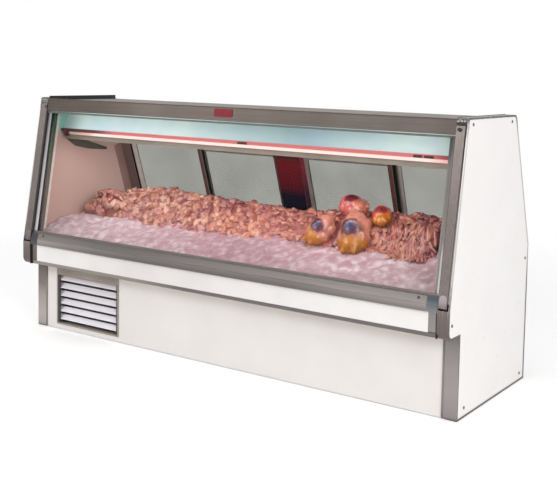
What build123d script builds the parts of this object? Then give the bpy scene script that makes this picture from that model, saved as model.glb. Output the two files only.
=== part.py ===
from build123d import *
import os
from math import atan2, cos, sin

# Refrigerated food display case with a slanted front glass and sliding rear doors, in millimetres.
# X runs along the case, the front faces -Y, Z is up, and the origin is on the floor under the middle.
# A depth is measured from the foremost line of the case towards the back.

# Overall size and the profile of the ends
CASE_LENGTH = 2590
CASE_DEPTH = 864
CASE_HEIGHT = 1286
TOE_RECESS = 109
NOSE_BOTTOM = 368
NOSE_TOP = 494
NOSE_RADIUS = 36
TOP_FRONT = 130
TOP_REAR = 652
REAR_KINK = 659
TOP_FRONT_RADIUS = 16
TOP_REAR_RADIUS = 30

# Ends: insulated wall, painted outer panel and folded stainless edging
END_THICKNESS = 55
EDGE_SHEET = 2
EDGE_LIP = 8
LIP_HEIGHT = 4
PANEL_SHEET = 2
SCREW_HEAD_RADIUS = 7
SCREW_HEAD_HEIGHT = 2
SCREW_RADIUS = 3
SCREW_LENGTH = 14
END_SCREWS = [(178, 1257), (604, 1256), (830, 595), (810, 37), (179, 43), (34, 429)]

# Front glass: stiles in a pocket of the ends, pivots at their feet
STILE_WIDTH = 41
STILE_DEPTH = 26
STILE_FOOT = 3
STILE_TOP = 770
STILE_TOP_RADIUS = 3
STILE_GAP = 1
POCKET_WIDTH = 49
POCKET_DEPTH = 30
POCKET_TOP = 784
FLANGE_WIDTH = 26
FLANGE_FOOT = 56
FLANGE_TOP = 726
PIVOT_UP = 16
PIVOT_INWARD = 13
PIVOT_RADIUS = 5
RUNNING_CLEARANCE = 0.05
PIVOT_PIN_START = 1196
PIVOT_BLOCK_WIDTH = 53
RAIL_FRONT = 12
RAIL_BACK = 26
BOTTOM_RAIL_UP = 58
BOTTOM_RAIL_HEIGHT = 8
TOP_RAIL_UP = 718
TOP_RAIL_HEIGHT = 8
GLASS_FRONT = 16
GLASS_SHEET = 6
SEAL_SHEET = 3.5
SEAL_WIDTH = 26
SEAL_END_MARGIN = 60
RETAINER_UP = 752
RETAINER_ACROSS = 16
RETAINER_HEAD_RADIUS = 8
RETAINER_HEAD_HEIGHT = 7
RETAINER_RADIUS = 4
RETAINER_LENGTH = 38
RETAINER_HOLE_RADIUS = 5
RETAINER_HOLE_DEPTH = 44

# Front below the glass
SHEET = 2
SILL_FOOT = -12
SILL_BEND = 20
SILL_TOP = 52
SILL_FACE = 2
SILL_LEAN = 5
APRON_FRONT = 10
APRON_BOTTOM = 392
APRON_TOP = 479
APRON_CAP_WIDTH = 35
APRON_END_GAP = 10
CAP_SEAM = 3
LIP_RETURN = 50
FOLD_RADIUS = 22

# Insulated tub
TUB_FRONT_WALL = 42
TUB_FLOOR = 52
TUB_REAR_WALL = 45
REAR_PANEL_DEPTH = 840
DECK_SLOPE = 0.18
DECK_FRONT_HEIGHT = 467
DECK_SHEET = 3
DECK_PANS = 4
DECK_PAN_GAP = 4
DECK_LEG_DEPTHS = [62, 364, 758]
DECK_SLOT = (90, 8)
DECK_SLOT_GRID = (120, 110, 4, 5)
ICE_FRONT_HEIGHT = 496
ICE_BEND = (400, 620)
ICE_BACK = (770, 650)

# Heaps of food on the ice, as sections along X: place, depth of the front foot, height of the crest
HEAPS = {
    "left_food_heap": [(-1195, 385, 672), (-1010, 355, 752), (-720, 350, 786), (-420, 352, 762)],
    "middle_food_heap": [(-414, 352, 762), (-160, 354, 756), (90, 362, 746), (336, 368, 752)],
    "right_food_heap": [(342, 368, 752), (540, 374, 778), (910, 384, 794), (1000, 392, 782)],
}
HEAP_CREST_DEPTH = 540
HEAP_BACK_DEPTH = 640
HEAP_REAR_FOOT = 720
HEAP_SHOULDER = 0.62
HEAP_BACK = 0.8

# Top, header and lamp
HEADER_BOTTOM = 1213
HEADER_TOP = 1281
HEADER_FACE = 4
HEADER_SHEET = 3
HEADER_END_GAP = 1.5
TOP_PANEL_HEIGHT = 1272
CANOPY_BOTTOM = 1216
PLATE_LENGTH = 112
PLATE_HEIGHT = 38
PLATE_THICKNESS = 3
PLATE_CORNER = 6
PLATE_CENTRE_HEIGHT = 1252
VALANCE_FOOT = (246, 1112)
VALANCE_TOP_DEPTH = 286
VALANCE_SHEET = 3
LAMP_DEPTH = 236
LAMP_HEIGHT = 1087
LAMP_RADIUS = 8
LAMP_HALF_LENGTH = 1194
LAMP_CHANNEL = (222, 249, 1096, 1112)
LAMP_HOLDER_LENGTH = 20
LAMP_HOLDER_FOOT = 1070

# Overhead cooling coil and its drip pan
PAN_FRONT = (256, 1052)
PAN_REAR = (590, 1019)
PAN_SHEET = 3
PAN_LIP = 24
COIL_FRONT = 305
COIL_REAR = 560
FIN_TOP = 1192
FIN_SHEET = 2
FIN_COUNT = 30
FIN_SPACING = 70
FIN_CLEARANCE = 14
HANGER_SHEET = 4
HANGER_PLACES = [-1115, 0, 1115]
COIL_TUBE_RADIUS = 8
COIL_TUBE_DEPTHS = [345, 415, 485, 540]
COIL_TUBE_HEIGHTS = [1110, 1165]
COIL_HALF_LENGTH = 1150

# Rear doors on the leaning back, measured up from the bend and inward from the rear face
HEADER_UP = 402
HEADER_INWARD = (2, 40)
TRACK_UP = 386
TRACK_INWARD = (6, 50)
SILL_UP = (-10, 32)
SILL_INWARD = (4, 78)
GROOVE_DEPTH = 10
POST_INWARD = (8, 46)
JAMB_WIDTH = 44
MULLION_WIDTH = 120
DOOR_SHEET = 12
DOOR_SLACK = 0.5
OUTER_DOOR = 12
INNER_DOOR = 30
DOOR_OVERLAP = 34
DOOR_GAP = 1
DOOR_STILE = 50
DOOR_RAIL = 28
DOOR_PANE = 5
PULL_WIDTH = 14
PULL_LENGTH = 150
OUTER_PULL = 8
INNER_PULL = 5

# Base and its air grille
BEAM = 40
BEAM_FRONT = 137
BEAM_REAR = 798
BEAM_HALF_LENGTH = 1236
CROSS_BEAMS = [-1216, -910, -560, -340, 400, 1216]
UPRIGHTS = [-1216, -200, 640, 1216]
BASE_PANEL_DEPTH = 111
BASE_PANEL_FOOT = 4
POST_WIDTH = 71
POST_FRONT = 107
POST_RETURN = 24
POST_FOOT = 3
POST_GAP = 1
GRILLE_CENTRE = (-909, 173)
GRILLE_OPENING = (454, 270)
GRILLE_FLANGE = 8
GRILLE_TOP = 364
GRILLE_FRONT = 107
GRILLE_BACK = 135
LOUVRES = 6
LOUVRE_PITCH = 44
LOUVRE_LIFT = 6
LOUVRE_FRONT = 112
LOUVRE_BACK = 134
LOUVRE_RISE = 22
LOUVRE_SHEET = 3
VENT_SLOT = (240, 10)
VENT_PITCH = 30
VENTS = 8

# Condensing unit in the base
CONDENSER = (420, 46, 290)
CONDENSER_FRONT = 150
CONDENSER_X = -910
SHROUD = (380, 286)
SHROUD_SHEET = 4
SHROUD_COLLAR = 40
FAN_HEIGHT = 185
FAN_OPENING = 125
FAN_HUB_RADIUS = 26
FAN_HUB_DEPTH = 30
FAN_BLADES = 4
FAN_BLADE_ROOT = 20
FAN_BLADE_TIP = 114
FAN_BLADE_WIDTH = 62
FAN_BLADE_SHEET = 3
FAN_PITCH = 28
FAN_FRONT = 206
FAN_SHAFT_RADIUS = 6
FAN_SHAFT_END = 284
MOTOR_RADIUS = 42
MOTOR_FRONT = 246
MOTOR_LENGTH = 80
MOTOR_BRACKET = (56, 8)
COMPRESSOR = (-450, 480)
COMPRESSOR_RADIUS = 105
COMPRESSOR_HEIGHT = 185
COMPRESSOR_DOME = 45
COMPRESSOR_PLATE = (260, 200, 6)
LINE_RADIUS = 6
LINE_BEND = 30
LINE_OFFSET = 30
DISCHARGE_HEIGHT = 300
LIQUID_HEIGHT = 90
LIQUID_X = -600
LIQUID_DEPTH = 700
LIQUID_RISER_X = -1170
LIQUID_EXIT_HEIGHT = 300
SUCTION_DEPTH = 640
SUCTION_HEIGHT = 340
DRAIN_X = 300
DRAIN_DEPTH = 600
DRAIN_HEIGHT = 140
DRAIN_RADIUS = 17
DRAIN_BORE = 12
DRAIN_BEND = 60
DRAIN_FLANGE_RADIUS = 34
DRAIN_FLANGE = 4
DRAIN_SHOULDER = 844
DRAIN_END = 862
SPIGOT_RADIUS = 15

# Control box on the rear header
CONTROL_X = -885
CONTROL_UP = 515
CONTROL_BOX = (250, 90, 22)
SWITCH_X = 60
SWITCH_POCKET = (24, 40, 14)
ROCKER = (22, 34, 8)
ROCKER_PIVOT = 13
ROCKER_TILT = 8
ROCKER_PIN_RADIUS = 2
ROCKER_PIN_LENGTH = 30
KNOB_X = -55
KNOB_RADIUS = 20
KNOB_HEIGHT = 16
KNOB_GAP = 1
KNOB_SHAFT_RADIUS = 4
KNOB_SHAFT_DEPTH = 16
KNOB_POINTER = (4, 18, 2)

# Worked-out values
HALF_LENGTH = CASE_LENGTH / 2
INNER_HALF = HALF_LENGTH - END_THICKNESS
END_CORE = END_THICKNESS - LIP_HEIGHT
FRONT_LEAN = atan2(TOP_FRONT, CASE_HEIGHT - NOSE_TOP)
REAR_LEAN = atan2(CASE_DEPTH - TOP_REAR, CASE_HEIGHT - REAR_KINK)
STILE_INNER = INNER_HALF + STILE_GAP
STILE_OUTER = STILE_INNER + STILE_WIDTH
TUB_BOTTOM = NOSE_BOTTOM + SHEET
FLOOR_TOP = TUB_BOTTOM + TUB_FLOOR
LINER_FRONT = SHEET + TUB_FRONT_WALL
LINER_REAR = REAR_PANEL_DEPTH - TUB_REAR_WALL
PIVOT_BLOCK_OUTER = INNER_HALF - STILE_GAP
PIVOT_BLOCK_INNER = PIVOT_BLOCK_OUTER - PIVOT_BLOCK_WIDTH
BACK_AXIS = (0, 1, 0)
FULL_WIDTH = [(-INNER_HALF, INNER_HALF)]

os.makedirs("parts", exist_ok=True)


def at(depth, height):
    """A section point from its depth behind the nose and its height."""
    return (depth - CASE_DEPTH / 2, height)


def front(up, inward):
    """A section point measured up the plane of the front glass and inward from it."""
    depth = up * sin(FRONT_LEAN) + inward * cos(FRONT_LEAN)
    return at(depth, NOSE_TOP + up * cos(FRONT_LEAN) - inward * sin(FRONT_LEAN))


def front_level(height, inward):
    """The section point of that height on a plane inward of the front glass."""
    return front((height - NOSE_TOP + inward * sin(FRONT_LEAN)) / cos(FRONT_LEAN), inward)


def rear(up, inward):
    """A section point measured up the leaning back and inward from it."""
    depth = CASE_DEPTH - up * sin(REAR_LEAN) - inward * cos(REAR_LEAN)
    return at(depth, REAR_KINK + up * cos(REAR_LEAN) - inward * sin(REAR_LEAN))


def rear_level(height, inward):
    """The section point of that height on a plane inward of the leaning back."""
    return rear((height - REAR_KINK + inward * sin(REAR_LEAN)) / cos(REAR_LEAN), inward)


def slope_height(start, end, depth):
    """Height at a depth on the straight line through two (depth, height) points."""
    share = (depth - start[0]) / (end[0] - start[0])
    return start[1] + share * (end[1] - start[1])


def deck_height(depth):
    """Height of the underside of the sloping deck."""
    return DECK_FRONT_HEIGHT + DECK_SLOPE * (depth - LINER_FRONT - SHEET)


def ice_height(depth):
    """Height of the surface of the ice, which is banked up from the front to a bend."""
    if depth < ICE_BEND[0]:
        return slope_height((LINER_FRONT + SHEET, ICE_FRONT_HEIGHT), ICE_BEND, depth)
    return slope_height(ICE_BEND, ICE_BACK, depth)


def rectangle(near, far, low, high):
    """Corners of an upright rectangular section."""
    return [at(near, low), at(far, low), at(far, high), at(near, high)]


def rear_rectangle(up, inward):
    """Corners of a rectangular section that leans with the back."""
    return [rear(up[0], inward[0]), rear(up[0], inward[1]), rear(up[1], inward[1]), rear(up[1], inward[0])]


def both_ends(inner, outer):
    """The same span at the left and at the right end."""
    return [(-outer, -inner), (inner, outer)]


def section(points, x, radii=None):
    """A closed section across the case at one place along X, with rounded corners if radii are given."""
    with BuildSketch(Plane.YZ.offset(x)) as profile:
        with BuildLine():
            if radii:
                FilletPolyline(*points, radius=radii, close=True)
            else:
                Polyline(*points, close=True)
        make_face()
    return profile.sketch


def save(builder, name):
    """Label a finished piece and write it."""
    builder.part.label = name
    export_step(builder.part, f"parts/{name}.step")


def bar(points, start, end, radii=None):
    """A straight bar of one section from one place along X to another."""
    with BuildPart() as piece:
        extrude(section(points, start, radii), amount=end - start)
    return piece.part


def save_group(name, pieces):
    """Write pieces that touch, but stay separate solids, as one node."""
    export_step(Compound(label=name, children=pieces), f"parts/{name}.step")


def save_bar(name, points, spans, radii=None):
    """One bar of the same section for each span along X."""
    save_group(name, [bar(points, start, end, radii) for start, end in spans])


def inset_outline(points, insets):
    """Move each side of an anticlockwise outline inward by its own amount."""
    sides = []
    for index, inset in enumerate(insets):
        start = Vector(*points[index])
        along = (Vector(*points[(index + 1) % len(points)]) - start).normalized()
        sides.append((start + Vector(-along.Y, along.X) * inset, along))
    corners = []
    for index, (point, along) in enumerate(sides):
        before, before_along = sides[index - 1]
        turn = before_along.X * along.Y - before_along.Y * along.X
        gap = point - before
        reach = (gap.X * along.Y - gap.Y * along.X) / turn
        corner = before + before_along * reach
        corners.append((corner.X, corner.Y))
    return corners


# Ends

END_OUTLINE = [
    at(TOE_RECESS, 0),
    at(CASE_DEPTH, 0),
    at(CASE_DEPTH, REAR_KINK),
    at(TOP_REAR, CASE_HEIGHT),
    at(TOP_FRONT, CASE_HEIGHT),
    front(0, 0),
    at(0, NOSE_BOTTOM),
    at(TOE_RECESS, NOSE_BOTTOM),
]
END_RADII = [0, 0, 0, TOP_REAR_RADIUS, TOP_FRONT_RADIUS, 0, NOSE_RADIUS, 0]
POCKET_PLACE = 5
POCKET_CORNERS = [front(POCKET_TOP, 0), front(POCKET_TOP, POCKET_DEPTH), front(0, POCKET_DEPTH)]


def end_section(x, inset, pocket=False):
    """Profile of an end, drawn in by an inset all round, with the pocket of the stile if asked."""
    outline = list(END_OUTLINE)
    radii = [max(radius - inset, 0) for radius in END_RADII]
    if pocket:
        outline[POCKET_PLACE:POCKET_PLACE] = POCKET_CORNERS
        radii[POCKET_PLACE:POCKET_PLACE] = [0] * len(POCKET_CORNERS)
    return section(inset_outline(outline, [inset] * len(outline)), x, radii)


def retainer_plane(side, inward):
    """Axis of a retaining screw of the front glass, pointing into the case."""
    y, z = front(RETAINER_UP, inward)
    x = side * (STILE_INNER + RETAINER_ACROSS)
    return Plane((x, y, z), x_dir=(1, 0, 0), z_dir=(0, cos(FRONT_LEAN), -sin(FRONT_LEAN)))


def end_screw_planes(side):
    """Seats of the panel screws on one end, facing outwards."""
    seat = side * (INNER_HALF + END_CORE + PANEL_SHEET)
    return [Plane((seat, *at(*place)), z_dir=(side, 0, 0)) for place in END_SCREWS]


def drill(planes, radius, depth):
    """Straight holes down from the given planes, for subtraction."""
    with BuildPart() as holes:
        with Locations(*planes):
            Cylinder(radius, depth, align=(Align.CENTER, Align.CENTER, Align.MAX))
    return holes.part


# Flange that stands behind each end of the glass
FLANGE_BACK = POCKET_DEPTH + EDGE_SHEET
FLANGE_SECTION = [
    front(FLANGE_FOOT, POCKET_DEPTH),
    front(FLANGE_FOOT, FLANGE_BACK),
    front(FLANGE_TOP, FLANGE_BACK),
    front(FLANGE_TOP, POCKET_DEPTH),
]

for side_name, side in (("left", -1), ("right", 1)):
    inner_x = side * INNER_HALF
    rim_x = inner_x + side * POCKET_WIDTH
    lip_x = inner_x + side * END_CORE
    retainer_hole = drill([-retainer_plane(side, POCKET_DEPTH)], RETAINER_HOLE_RADIUS, RETAINER_HOLE_DEPTH)
    panel_screw_holes = drill(end_screw_planes(side), SCREW_RADIUS, SCREW_LENGTH)

    with BuildPart() as end_wall:
        extrude(end_section(inner_x, EDGE_SHEET, pocket=True), amount=side * END_CORE)
        add(retainer_hole, mode=Mode.SUBTRACT)
        add(panel_screw_holes, mode=Mode.SUBTRACT)
    save(end_wall, f"{side_name}_end_wall")

    with BuildPart() as end_trim:
        extrude(end_section(inner_x, 0, pocket=True), amount=side * POCKET_WIDTH)
        extrude(end_section(rim_x, 0), amount=side * (END_THICKNESS - POCKET_WIDTH))
        extrude(
            end_section(inner_x, EDGE_SHEET, pocket=True),
            amount=side * END_CORE,
            mode=Mode.SUBTRACT,
        )
        extrude(end_section(lip_x, EDGE_LIP), amount=side * LIP_HEIGHT, mode=Mode.SUBTRACT)
        extrude(section(FLANGE_SECTION, inner_x), amount=-side * FLANGE_WIDTH)
        add(retainer_hole, mode=Mode.SUBTRACT)
    save(end_trim, f"{side_name}_end_trim")

    with BuildPart() as end_panel:
        extrude(end_section(lip_x, EDGE_LIP), amount=side * PANEL_SHEET)
        add(panel_screw_holes, mode=Mode.SUBTRACT)
    save(end_panel, f"{side_name}_end_panel")

with BuildPart() as end_panel_screws:
    with Locations(*end_screw_planes(-1), *end_screw_planes(1)):
        Cylinder(SCREW_HEAD_RADIUS, SCREW_HEAD_HEIGHT, align=(Align.CENTER, Align.CENTER, Align.MIN))
        Cylinder(SCREW_RADIUS, SCREW_LENGTH, align=(Align.CENTER, Align.CENTER, Align.MAX))
save(end_panel_screws, "end_panel_screws")

# Front glass that tips forward on the feet of its stiles

PIVOT_Y, PIVOT_Z = front(PIVOT_UP, PIVOT_INWARD)
STILE_SECTION = [
    front(STILE_FOOT, 0),
    front(STILE_TOP, 0),
    front(STILE_TOP, STILE_DEPTH),
    front(STILE_FOOT, STILE_DEPTH),
]
STILE_FOOT_RADIUS = STILE_DEPTH / 2 - RUNNING_CLEARANCE
STILE_RADII = [STILE_FOOT_RADIUS, STILE_TOP_RADIUS, STILE_TOP_RADIUS, STILE_FOOT_RADIUS]
SEAL_SECTION = [
    front(STILE_FOOT + SEAL_END_MARGIN, STILE_DEPTH),
    front(STILE_FOOT + SEAL_END_MARGIN, STILE_DEPTH + SEAL_SHEET),
    front(RETAINER_UP - SEAL_END_MARGIN, STILE_DEPTH + SEAL_SHEET),
    front(RETAINER_UP - SEAL_END_MARGIN, STILE_DEPTH),
]
STILE_MIDDLE = (STILE_INNER + STILE_OUTER) / 2


def glass_rail(up, height):
    """Section of a slim rail along an edge of the front glass."""
    low, high = up, up + height
    return [front(low, RAIL_FRONT), front(low, RAIL_BACK), front(high, RAIL_BACK), front(high, RAIL_FRONT)]


def pivot_cylinder(radius, start, end):
    """A cylinder on the pivot axis at both ends of the case."""
    with BuildPart() as cylinders:
        for side in (-1, 1):
            with BuildSketch(Plane.YZ.offset(side * start)):
                with Locations((PIVOT_Y, PIVOT_Z)):
                    Circle(radius)
            extrude(amount=side * (end - start))
    return cylinders.part


with BuildPart() as glass_frame:
    for start, end in both_ends(STILE_INNER, STILE_OUTER):
        extrude(section(STILE_SECTION, start, STILE_RADII), amount=end - start)
    for rail in (glass_rail(BOTTOM_RAIL_UP, BOTTOM_RAIL_HEIGHT), glass_rail(TOP_RAIL_UP, TOP_RAIL_HEIGHT)):
        extrude(section(rail, -STILE_INNER), amount=2 * STILE_INNER)
    add(
        pivot_cylinder(PIVOT_RADIUS + RUNNING_CLEARANCE, STILE_INNER, STILE_OUTER),
        mode=Mode.SUBTRACT,
    )
    for side in (-1, 1):
        add(drill([-retainer_plane(side, 0)], RETAINER_RADIUS, STILE_DEPTH), mode=Mode.SUBTRACT)
save(glass_frame, "front_glass_frame")

GLASS_BOTTOM = BOTTOM_RAIL_UP + BOTTOM_RAIL_HEIGHT
GLASS_BACK = GLASS_FRONT + GLASS_SHEET
GLASS_SECTION = [
    front(GLASS_BOTTOM, GLASS_FRONT),
    front(GLASS_BOTTOM, GLASS_BACK),
    front(TOP_RAIL_UP, GLASS_BACK),
    front(TOP_RAIL_UP, GLASS_FRONT),
]
save_bar("front_glass", GLASS_SECTION, [(-STILE_INNER, STILE_INNER)])
save_bar(
    "front_glass_seals",
    SEAL_SECTION,
    both_ends(STILE_MIDDLE - SEAL_WIDTH / 2, STILE_MIDDLE + SEAL_WIDTH / 2),
)

with BuildPart() as retaining_screws:
    with Locations(retainer_plane(-1, 0), retainer_plane(1, 0)):
        Cylinder(RETAINER_HEAD_RADIUS, RETAINER_HEAD_HEIGHT, align=(Align.CENTER, Align.CENTER, Align.MAX))
        Cylinder(RETAINER_RADIUS, RETAINER_LENGTH, align=(Align.CENTER, Align.CENTER, Align.MIN))
save(retaining_screws, "retaining_screws")

with BuildPart() as pivot_pins:
    add(pivot_cylinder(PIVOT_RADIUS, PIVOT_PIN_START, STILE_OUTER - SHEET))
save(pivot_pins, "pivot_pins")

# Sill, apron and the trim below it

SILL_BOTTOM_SLOPE = [front(SILL_FOOT, SILL_FACE), front(SILL_FOOT, POCKET_DEPTH)]
SILL_TOP_SLOPE = [front(SILL_TOP, SILL_FACE + SILL_LEAN), front(SILL_TOP, POCKET_DEPTH)]
TUB_WALL_Y = at(LINER_FRONT, 0)[0]
APRON_BACK = APRON_FRONT + SHEET
APRON_Y = at(APRON_BACK, 0)[0]
SILL_BACK_FOOT = slope_height(*SILL_BOTTOM_SLOPE, TUB_WALL_Y)
SILL_BACK_TOP = slope_height(*SILL_TOP_SLOPE, TUB_WALL_Y)
SILL_SECTION = [
    SILL_BOTTOM_SLOPE[0],
    (TUB_WALL_Y, SILL_BACK_FOOT),
    (TUB_WALL_Y, SILL_BACK_TOP),
    SILL_TOP_SLOPE[0],
    front(SILL_BEND, SILL_FACE),
]
save_bar("front_sill", SILL_SECTION, [(-PIVOT_BLOCK_INNER, PIVOT_BLOCK_INNER)])

with BuildPart() as pivot_blocks:
    for start, end in both_ends(PIVOT_BLOCK_INNER, PIVOT_BLOCK_OUTER):
        extrude(section(SILL_SECTION, start), amount=end - start)
    add(pivot_cylinder(PIVOT_RADIUS, PIVOT_PIN_START, PIVOT_BLOCK_OUTER), mode=Mode.SUBTRACT)
save(pivot_blocks, "pivot_blocks")

TRIM_HALF = INNER_HALF - APRON_END_GAP
APRON_HALF = TRIM_HALF - APRON_CAP_WIDTH
APRON_SECTION = rectangle(APRON_FRONT, APRON_BACK, APRON_BOTTOM, APRON_TOP)
save_bar("front_apron", APRON_SECTION, [(-APRON_HALF, APRON_HALF)])

# The lower lip folds round the bottom of the nose, with a cap above it at each end of the apron
LIP_SECTION = [
    at(APRON_FRONT, APRON_BOTTOM),
    at(APRON_FRONT, NOSE_BOTTOM),
    at(LIP_RETURN, NOSE_BOTTOM),
    at(LIP_RETURN, TUB_BOTTOM),
    at(APRON_BACK, TUB_BOTTOM),
    at(APRON_BACK, APRON_BOTTOM),
]
LIP_RADII = [0, FOLD_RADIUS, 0, 0, FOLD_RADIUS - SHEET, 0]
CAP_SECTION = rectangle(APRON_FRONT, APRON_BACK, APRON_BOTTOM + CAP_SEAM, APRON_TOP)
apron_caps = [bar(CAP_SECTION, start, end) for start, end in both_ends(APRON_HALF, TRIM_HALF)]
save_group("apron_trim", [bar(LIP_SECTION, -TRIM_HALF, TRIM_HALF, LIP_RADII), *apron_caps])

# Insulated tub, its liner, deck, ice and food

REAR_SILL_FOOT = [rear(SILL_UP[0], SILL_INWARD[0]), rear(SILL_UP[0], SILL_INWARD[1])]
LINER_REAR_Y = at(LINER_REAR, 0)[0]
REAR_PANEL_Y = at(REAR_PANEL_DEPTH, 0)[0]
REAR_WALL_TOP = slope_height(*REAR_SILL_FOOT, LINER_REAR_Y)
LINER_REAR_TOP = slope_height(*REAR_SILL_FOOT, LINER_REAR_Y - SHEET)
FRONT_WALL_SECTION = [
    at(APRON_BACK, TUB_BOTTOM),
    at(LINER_FRONT, TUB_BOTTOM),
    (TUB_WALL_Y, SILL_BACK_FOOT),
    (APRON_Y, slope_height(*SILL_BOTTOM_SLOPE, APRON_Y)),
]
REAR_WALL_SECTION = [
    at(LINER_REAR, TUB_BOTTOM),
    at(REAR_PANEL_DEPTH, TUB_BOTTOM),
    (REAR_PANEL_Y, slope_height(*REAR_SILL_FOOT, REAR_PANEL_Y)),
    (LINER_REAR_Y, REAR_WALL_TOP),
]


def drain_hole(low, high):
    """A straight hole for the drain through the floor of the tub."""
    with BuildPart() as hole:
        with BuildSketch(Plane.XY.offset(low)):
            with Locations((DRAIN_X, at(DRAIN_DEPTH, 0)[0])):
                Circle(DRAIN_RADIUS)
        extrude(amount=high - low)
    return hole.part


# The walls meet the floor on upright faces, so each slab of foam is a simple block
with BuildPart() as floor_slab:
    floor_section = rectangle(LINER_FRONT, LINER_REAR, TUB_BOTTOM, FLOOR_TOP)
    extrude(section(floor_section, -INNER_HALF), amount=2 * INNER_HALF)
    add(drain_hole(TUB_BOTTOM, FLOOR_TOP), mode=Mode.SUBTRACT)
front_slab = bar(FRONT_WALL_SECTION, -INNER_HALF, INNER_HALF, [FOLD_RADIUS - SHEET, 0, 0, 0])
rear_slab = bar(REAR_WALL_SECTION, -INNER_HALF, INNER_HALF)
save_group("tub_insulation", [front_slab, floor_slab.part, rear_slab])

LINER_SECTION = [
    at(LINER_FRONT, FLOOR_TOP),
    at(LINER_REAR, FLOOR_TOP),
    at(LINER_REAR, LINER_REAR_TOP),
    at(LINER_REAR - SHEET, LINER_REAR_TOP),
    at(LINER_REAR - SHEET, FLOOR_TOP + SHEET),
    at(LINER_FRONT + SHEET, FLOOR_TOP + SHEET),
    at(LINER_FRONT + SHEET, SILL_BACK_TOP),
    at(LINER_FRONT, SILL_BACK_TOP),
]
with BuildPart() as tub_liner:
    extrude(section(LINER_SECTION, -INNER_HALF), amount=2 * INNER_HALF)
    add(drain_hole(FLOOR_TOP, FLOOR_TOP + SHEET), mode=Mode.SUBTRACT)
save(tub_liner, "tub_liner")

DECK_NEAR = LINER_FRONT + SHEET
DECK_FAR = LINER_REAR - SHEET
DECK_SECTION = [
    at(DECK_NEAR, deck_height(DECK_NEAR)),
    at(DECK_FAR, deck_height(DECK_FAR)),
    at(DECK_FAR, deck_height(DECK_FAR) + DECK_SHEET),
    at(DECK_NEAR, deck_height(DECK_NEAR) + DECK_SHEET),
]
PAN_PITCH = 2 * INNER_HALF / DECK_PANS
with BuildPart() as deck_pans:
    for number in range(DECK_PANS):
        pan_start = -INNER_HALF + number * PAN_PITCH + DECK_PAN_GAP / 2
        pan_width = PAN_PITCH - DECK_PAN_GAP
        extrude(section(DECK_SECTION, pan_start), amount=pan_width)
        for depth in DECK_LEG_DEPTHS:
            near_top, far_top = deck_height(depth), deck_height(depth + DECK_SHEET)
            leg = [
                at(depth, FLOOR_TOP + SHEET),
                at(depth + DECK_SHEET, FLOOR_TOP + SHEET),
                at(depth + DECK_SHEET, far_top),
                at(depth, near_top),
            ]
            extrude(section(leg, pan_start), amount=pan_width)
        slot_centre = (pan_start + pan_width / 2, at((DECK_NEAR + DECK_FAR) / 2, 0)[0])
        with BuildSketch(Plane.XY.offset(FLOOR_TOP)):
            with Locations(slot_centre):
                with GridLocations(*DECK_SLOT_GRID):
                    SlotOverall(*DECK_SLOT)
        extrude(amount=CASE_HEIGHT - FLOOR_TOP, mode=Mode.SUBTRACT)
save(deck_pans, "deck_pans")

ICE_SECTION = [
    at(DECK_NEAR, deck_height(DECK_NEAR) + DECK_SHEET),
    at(ICE_BACK[0], deck_height(ICE_BACK[0]) + DECK_SHEET),
    at(*ICE_BACK),
    at(*ICE_BEND),
    at(DECK_NEAR, ICE_FRONT_HEIGHT),
]
save_bar("ice_bed", ICE_SECTION, FULL_WIDTH)


def heap_section(x, foot, crest):
    """Section of a heap from its front foot over the crest to its rear foot."""
    shoulder_depth = (foot + HEAP_CREST_DEPTH) / 2
    shoulder_ice = ice_height(shoulder_depth)
    shoulder = shoulder_ice + HEAP_SHOULDER * (crest - shoulder_ice)
    back_ice = ice_height(HEAP_BACK_DEPTH)
    back = back_ice + HEAP_BACK * (crest - back_ice)
    points = [
        at(foot, ice_height(foot)),
        at(*ICE_BEND),
        at(HEAP_REAR_FOOT, ice_height(HEAP_REAR_FOOT)),
        at(HEAP_BACK_DEPTH, back),
        at(HEAP_CREST_DEPTH, crest),
        at(shoulder_depth, shoulder),
    ]
    return section(points, x)


for heap_name, places in HEAPS.items():
    with BuildPart() as heap:
        loft([heap_section(*place_row) for place_row in places], ruled=True)
    save(heap, heap_name)

# Top, header, plate and lamp

HEADER_BACK = HEADER_FACE + HEADER_SHEET
HEADER_SECTION = [
    front_level(HEADER_BOTTOM, HEADER_FACE),
    front_level(HEADER_BOTTOM, HEADER_BACK),
    front_level(HEADER_TOP, HEADER_BACK),
    front_level(HEADER_TOP, HEADER_FACE),
]
HEADER_HALF = INNER_HALF - HEADER_END_GAP
save_bar("front_header", HEADER_SECTION, [(-HEADER_HALF, HEADER_HALF)])

TOP_SECTION = [
    front_level(TOP_PANEL_HEIGHT - SHEET, HEADER_BACK),
    rear_level(TOP_PANEL_HEIGHT - SHEET, HEADER_INWARD[0]),
    rear_level(TOP_PANEL_HEIGHT, HEADER_INWARD[0]),
    front_level(TOP_PANEL_HEIGHT, HEADER_BACK),
]
save_bar("top_panel", TOP_SECTION, FULL_WIDTH)

CANOPY_SECTION = [
    front_level(CANOPY_BOTTOM, HEADER_BACK),
    rear_level(CANOPY_BOTTOM, HEADER_INWARD[1]),
    rear_level(TOP_PANEL_HEIGHT - SHEET, HEADER_INWARD[1]),
    front_level(TOP_PANEL_HEIGHT - SHEET, HEADER_BACK),
]
save_bar("canopy_insulation", CANOPY_SECTION, FULL_WIDTH)

PLATE_Y, PLATE_Z = front_level(PLATE_CENTRE_HEIGHT, HEADER_FACE)
PLATE_PLANE = Plane(
    (0, PLATE_Y, PLATE_Z),
    x_dir=(1, 0, 0),
    z_dir=(0, -cos(FRONT_LEAN), sin(FRONT_LEAN)),
)
with BuildPart() as header_plate:
    with BuildSketch(PLATE_PLANE):
        RectangleRounded(PLATE_LENGTH, PLATE_HEIGHT, PLATE_CORNER)
    extrude(amount=PLATE_THICKNESS)
save(header_plate, "header_plate")

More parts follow.
